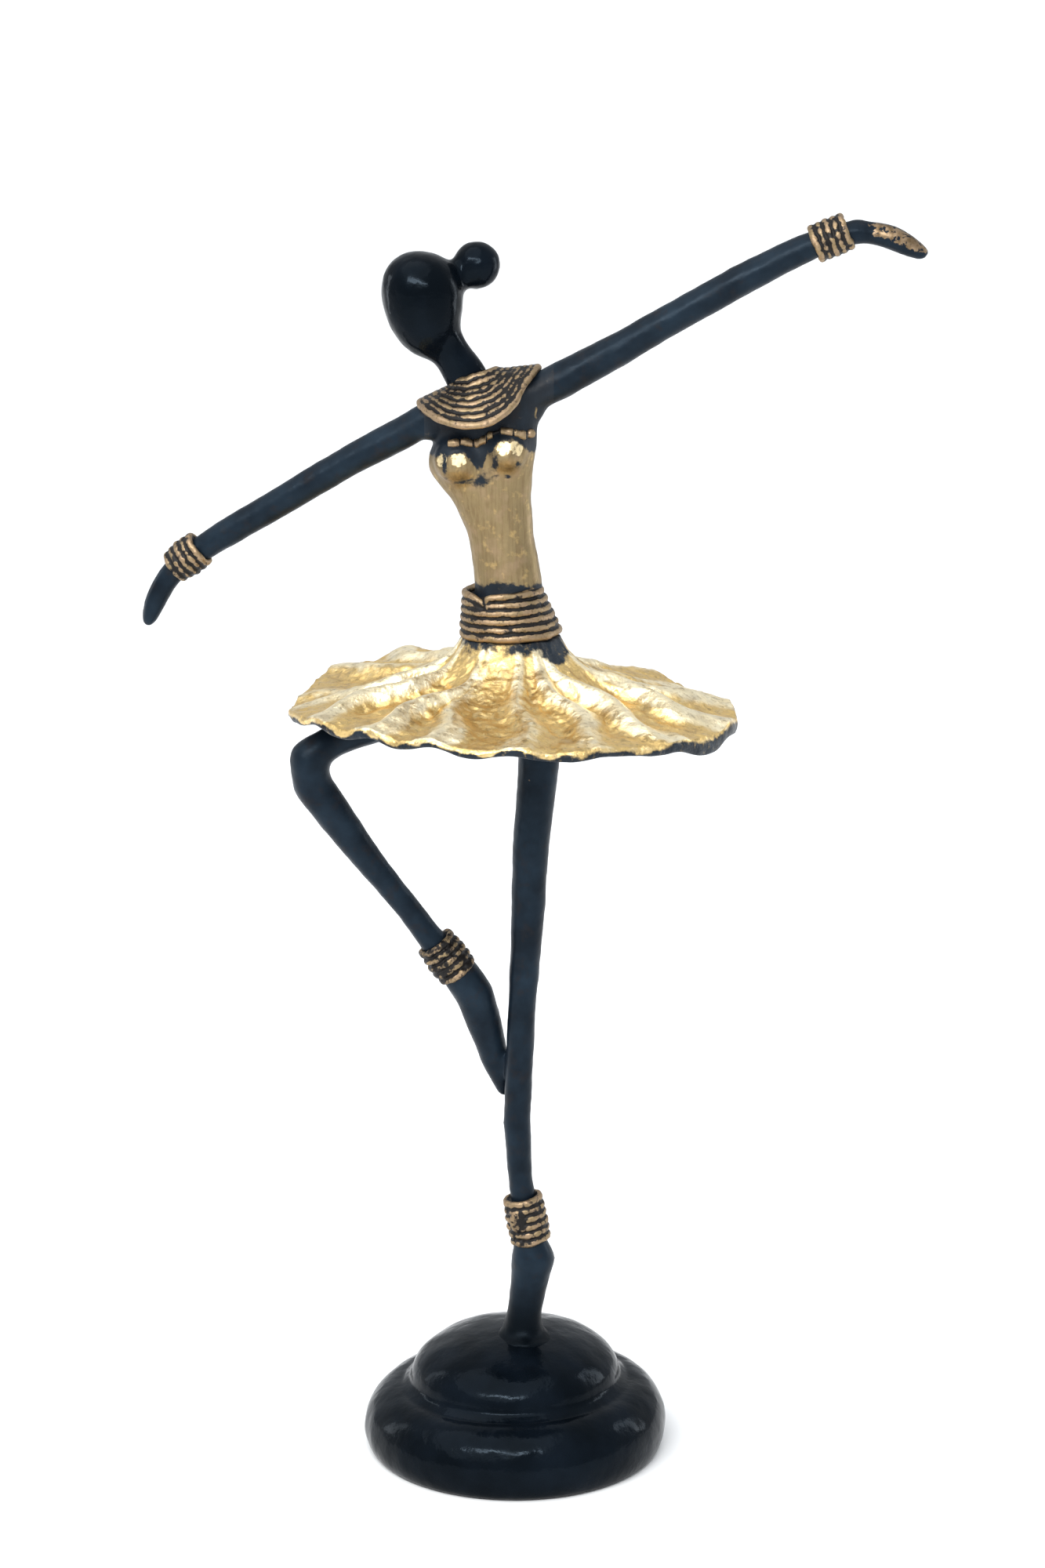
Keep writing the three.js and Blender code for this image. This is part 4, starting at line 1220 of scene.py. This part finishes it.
class DANCER_OT_collar(bpy.types.Operator):
    """Wind the collar's threads outwards and drape them over the shoulders"""

    bl_idname = "dancer.collar"
    bl_label = "Collar"

    def execute(self, context):
        sizes = context.scene.dancer_threads
        torso = middle_of("torso")
        top = high_of("torso")[2]
        seat_point = np.array((torso[0] - 4.0, -1.4, top - 1.0))
        tilt = radians(16.5)
        turn = even_turns(160)
        forward = np.cos(turn)
        inner, outer = 6.8, 20.4
        threads = 8

        def drape(radius, lift):
            """Places round the collar at a radius, before it is tilted."""
            share = np.maximum(0, (radius - 6.2) / 15.8)
            end_fall = np.where(forward > 0, 14.0, 9.0)
            fall = 2.5 + (end_fall - 2.5) * forward ** 2
            climb = 1.7 * smoothstep(10.5, 6.4, radius) * (0.6 + 0.4 * forward)
            height = lift + climb - fall * share ** 1.25
            # The rim is drawn in at the right front and let out a little at the left.
            skew = 0.2 * np.exp(-((turn - radians(50)) / radians(32)) ** 2)
            skew -= 0.05 * np.exp(-((turn - radians(325)) / radians(25)) ** 2)
            reach = radius * (1 - skew * share)
            return np.stack([reach * np.sin(turn), -reach * np.cos(turn), height], axis=1)

        def tilted(points):
            """The places tilted with the shoulders and set on the neck."""
            across = points[:, 0] * cos(tilt) - points[:, 2] * sin(tilt)
            upward = points[:, 0] * sin(tilt) + points[:, 2] * cos(tilt)
            return np.stack([across, points[:, 1], upward], axis=1) + seat_point

        shells = []
        for number in range(threads):
            strand = strand_places(turn, 3, 2.7 * number)
            even_radius = inner + (outer - inner) * number / (threads - 1)
            radius = even_radius + 0.45 * lumps(strand, 0.9, 111) + 0.2 * lumps(strand, 0.3, 112)
            path = tilted(drape(radius, -0.9 + 0.3 * lumps(strand, 0.6, 113)))
            raised = tilted(drape(radius + 0.5, 0.0)) - tilted(drape(radius - 0.5, 0.0))
            along = np.roll(path, -1, axis=0) - np.roll(path, 1, axis=0)
            outward = np.cross(along, raised)
            outward /= np.linalg.norm(outward, axis=1, keepdims=True)
            outward *= np.sign(outward[:, 2:3])
            girth = 0.6 * mm(sizes, "pitch") * (1 + 0.13 * lumps(strand, 0.5, 114))
            shells.append(tube_shell(path, outward, girth, 0.85, sizes.sides))
        rows = (4.6, *np.linspace(inner, outer - 0.6, 8))
        sheet = [tilted(drape(np.full_like(turn, radius), -1.2)) for radius in rows]
        sheet += [tilted(drape(np.full_like(turn, radius), -2.9)) for radius in rows[::-1]]
        shells.append(grid_shell(np.array(sheet)[::-1]))
        piece = fused("collar_threads", shells, mm(sizes, "voxel") * 1.1, 4)
        rubbed(piece, 0.9, 116, -0.13)
        seat(piece, ["collar"], rubbed_thread(context.scene.dancer_colours))
        return {"FINISHED"}


class DANCER_OT_neckline(bpy.types.Operator):
    """Lay the wavy beaded strip along the neckline of the bodice"""

    bl_idname = "dancer.neckline"
    bl_label = "Neckline"

    def execute(self, context):
        sizes = context.scene.dancer_threads
        torso = bpy.data.objects["torso_and_bodice"]
        graph = context.evaluated_depsgraph_get()
        tree = BVHTree.FromObject(torso, graph)
        centre = middle_of("torso")
        steps = np.array(NECKLINE)
        across = np.linspace(steps[0, 0], steps[-1, 0], 120)
        smooth = [np.interp(across + shift, *steps.T) for shift in (-0.8, 0, 0.8)]
        upward = np.mean(smooth, axis=0)
        line = []
        for step_x, step_z in zip(across, upward):
            start = Vector((centre[0] + step_x, -60, centre[2] + step_z)) * MM
            hit = tree.ray_cast(start, Vector(BACK))[0]
            if hit is None:
                raise RuntimeError("the neckline strip misses the torso")
            line.append(np.array(hit) / MM)
        line = np.array(line)
        along = np.stack([across, upward, np.zeros_like(across)], axis=1)
        # Beads in a row, with a short gap near the middle.
        beads = smoothstep(0.0, 0.35, np.abs(np.sin(across * 0.72 + 0.5)))
        gap = smoothstep(0.9, 1.5, np.abs(across - 2.4))
        broken = beads * gap
        girth = 1.45 * (1 + 0.28 * lumps(along, 1.5, 121)) * (0.6 + 0.4 * beads) * (0.4 + 0.6 * gap)
        shells = [rod_shell(line, girth, sizes.sides)]
        piece = fused("neckline_strip", shells, 0.26, 3)
        places = points_of(piece)
        facing = smoothstep(-0.1, 0.5, -normals_of(piece)[:, 1])
        gaps = np.interp(places[:, 0] - centre[0], across, broken)
        paint(piece, "bare", facing * gaps)
        seat(piece, ["neckline_trim"], rubbed_thread(context.scene.dancer_colours))
        return {"FINISHED"}


# ---- Stage ----


def soft_light(name, place, aim, width, height, power, warmth=(1.0, 1.0, 1.0)):
    """A rectangular softbox at a place, turned to a point, in millimetres."""
    lamp = bpy.data.lights.new(name, "AREA")
    lamp.shape = "RECTANGLE"
    lamp.size = width * MM
    lamp.size_y = height * MM
    lamp.energy = power
    lamp.color = warmth
    light = bpy.data.objects.new(name, lamp)
    light.location = Vector(place) * MM
    direction = Vector(aim) * MM - light.location
    light.rotation_euler = direction.to_track_quat("-Z", "Y").to_euler()
    bpy.context.scene.collection.objects.link(light)


class DANCER_OT_stage(bpy.types.Operator):
    """Lay the plain floor, set the soft studio lights and aim the camera"""

    bl_idname = "dancer.stage"
    bl_label = "Stage"

    def execute(self, context):
        scene = context.scene
        sizes = scene.dancer_stage
        base = middle_of("base")
        radius = mm(sizes, "floor_radius")
        middle = np.zeros((1, 3))
        rim = rings_round(middle, radius * RIGHT[None], radius * BACK[None], 64)[0]
        floor = surface("floor", rim, [list(range(len(rim)))])
        floor.data.materials.append(matt_paper(linear("#F4F4F4")))

        world = bpy.data.worlds.new("studio_room")
        world.use_nodes = True
        background = world.node_tree.nodes["Background"]
        background.inputs["Color"].default_value = (0.92, 0.96, 1.0, 1)
        direction = add(world.node_tree, "ShaderNodeTexCoord").outputs["Generated"]
        height = add(world.node_tree, "ShaderNodeSeparateXYZ", {"Vector": direction})
        feeds = {"Value": height.outputs["Z"], "To Min": 0.72, "To Max": 0.92}
        glow = add(world.node_tree, "ShaderNodeMapRange", feeds)
        world.node_tree.links.new(glow.outputs["Result"], background.inputs["Strength"])
        scene.world = world
        scene.view_settings.view_transform = "Standard"

        sky = bpy.data.lights.new("overhead_diffuser", "SUN")
        sky.energy = 1.7
        sky.angle = radians(75)
        overhead = bpy.data.objects.new("overhead_diffuser", sky)
        overhead.rotation_euler = (radians(22), radians(-18), 0)
        scene.collection.objects.link(overhead)
        chest = (base[0], 0, 300)
        soft_light("front_softbox", (-260, -900, 900), chest, 1000, 84, 10.5)
        soft_light("right_strip", (820, 260, 420), chest, 120, 600, 1.3, (0.93, 0.97, 1.0))
        soft_light("left_strip", (-820, 320, 380), chest, 120, 600, 0.8, (0.93, 0.97, 1.0))

        lens = bpy.data.cameras.new("camera")
        lens.lens = sizes.lens
        lens.sensor_width = 36
        lens.clip_end = 200
        camera = bpy.data.objects.new("camera", lens)
        side = base[0] + mm(sizes, "camera_side")
        camera.location = Vector(
            (side, -mm(sizes, "camera_distance"), mm(sizes, "camera_height"))
        ) * MM
        aim = Vector((side, 0, mm(sizes, "aim_height"))) * MM
        camera.rotation_euler = (aim - camera.location).to_track_quat("-Z", "Y").to_euler()
        scene.collection.objects.link(camera)
        scene.camera = camera
        return {"FINISHED"}


# ---- Add-on ----

OPERATORS = (
    DANCER_OT_base,
    DANCER_OT_fixings,
    DANCER_OT_legs,
    DANCER_OT_upper_body,
    DANCER_OT_head,
    DANCER_OT_skirt,
    DANCER_OT_limb_bands,
    DANCER_OT_belt,
    DANCER_OT_collar,
    DANCER_OT_neckline,
    DANCER_OT_stage,
)


class DANCER_PT_panel(bpy.types.Panel):
    """Lists the dancer's pieces and its stage in the sidebar"""

    bl_label = "Bronze Dancer"
    bl_space_type = "VIEW_3D"
    bl_region_type = "UI"
    bl_category = "Dancer"

    def draw(self, context):
        for operator in OPERATORS:
            self.layout.operator(operator.bl_idname)
        for name, group in SETTINGS.items():
            box = self.layout.box()
            settings = getattr(context.scene, name)
            for field in group.__annotations__:
                box.prop(settings, field)


def register():
    """Registers the settings, the operators and the panel."""
    for group in SETTINGS.values():
        bpy.utils.register_class(group)
    for operator in (*OPERATORS, DANCER_PT_panel):
        bpy.utils.register_class(operator)
    for name, group in SETTINGS.items():
        setattr(bpy.types.Scene, name, PointerProperty(type=group))


def unregister():
    """Takes them all out again."""
    for name in SETTINGS:
        delattr(bpy.types.Scene, name)
    for operator in (DANCER_PT_panel, *reversed(OPERATORS)):
        bpy.utils.unregister_class(operator)
    for group in reversed(SETTINGS.values()):
        bpy.utils.unregister_class(group)


def main():
    """Makes every piece."""
    register()
    for operator in OPERATORS:
        group, name = operator.bl_idname.split(".")
        getattr(getattr(bpy.ops, group), name)()


if __name__ == "__main__":
    main()
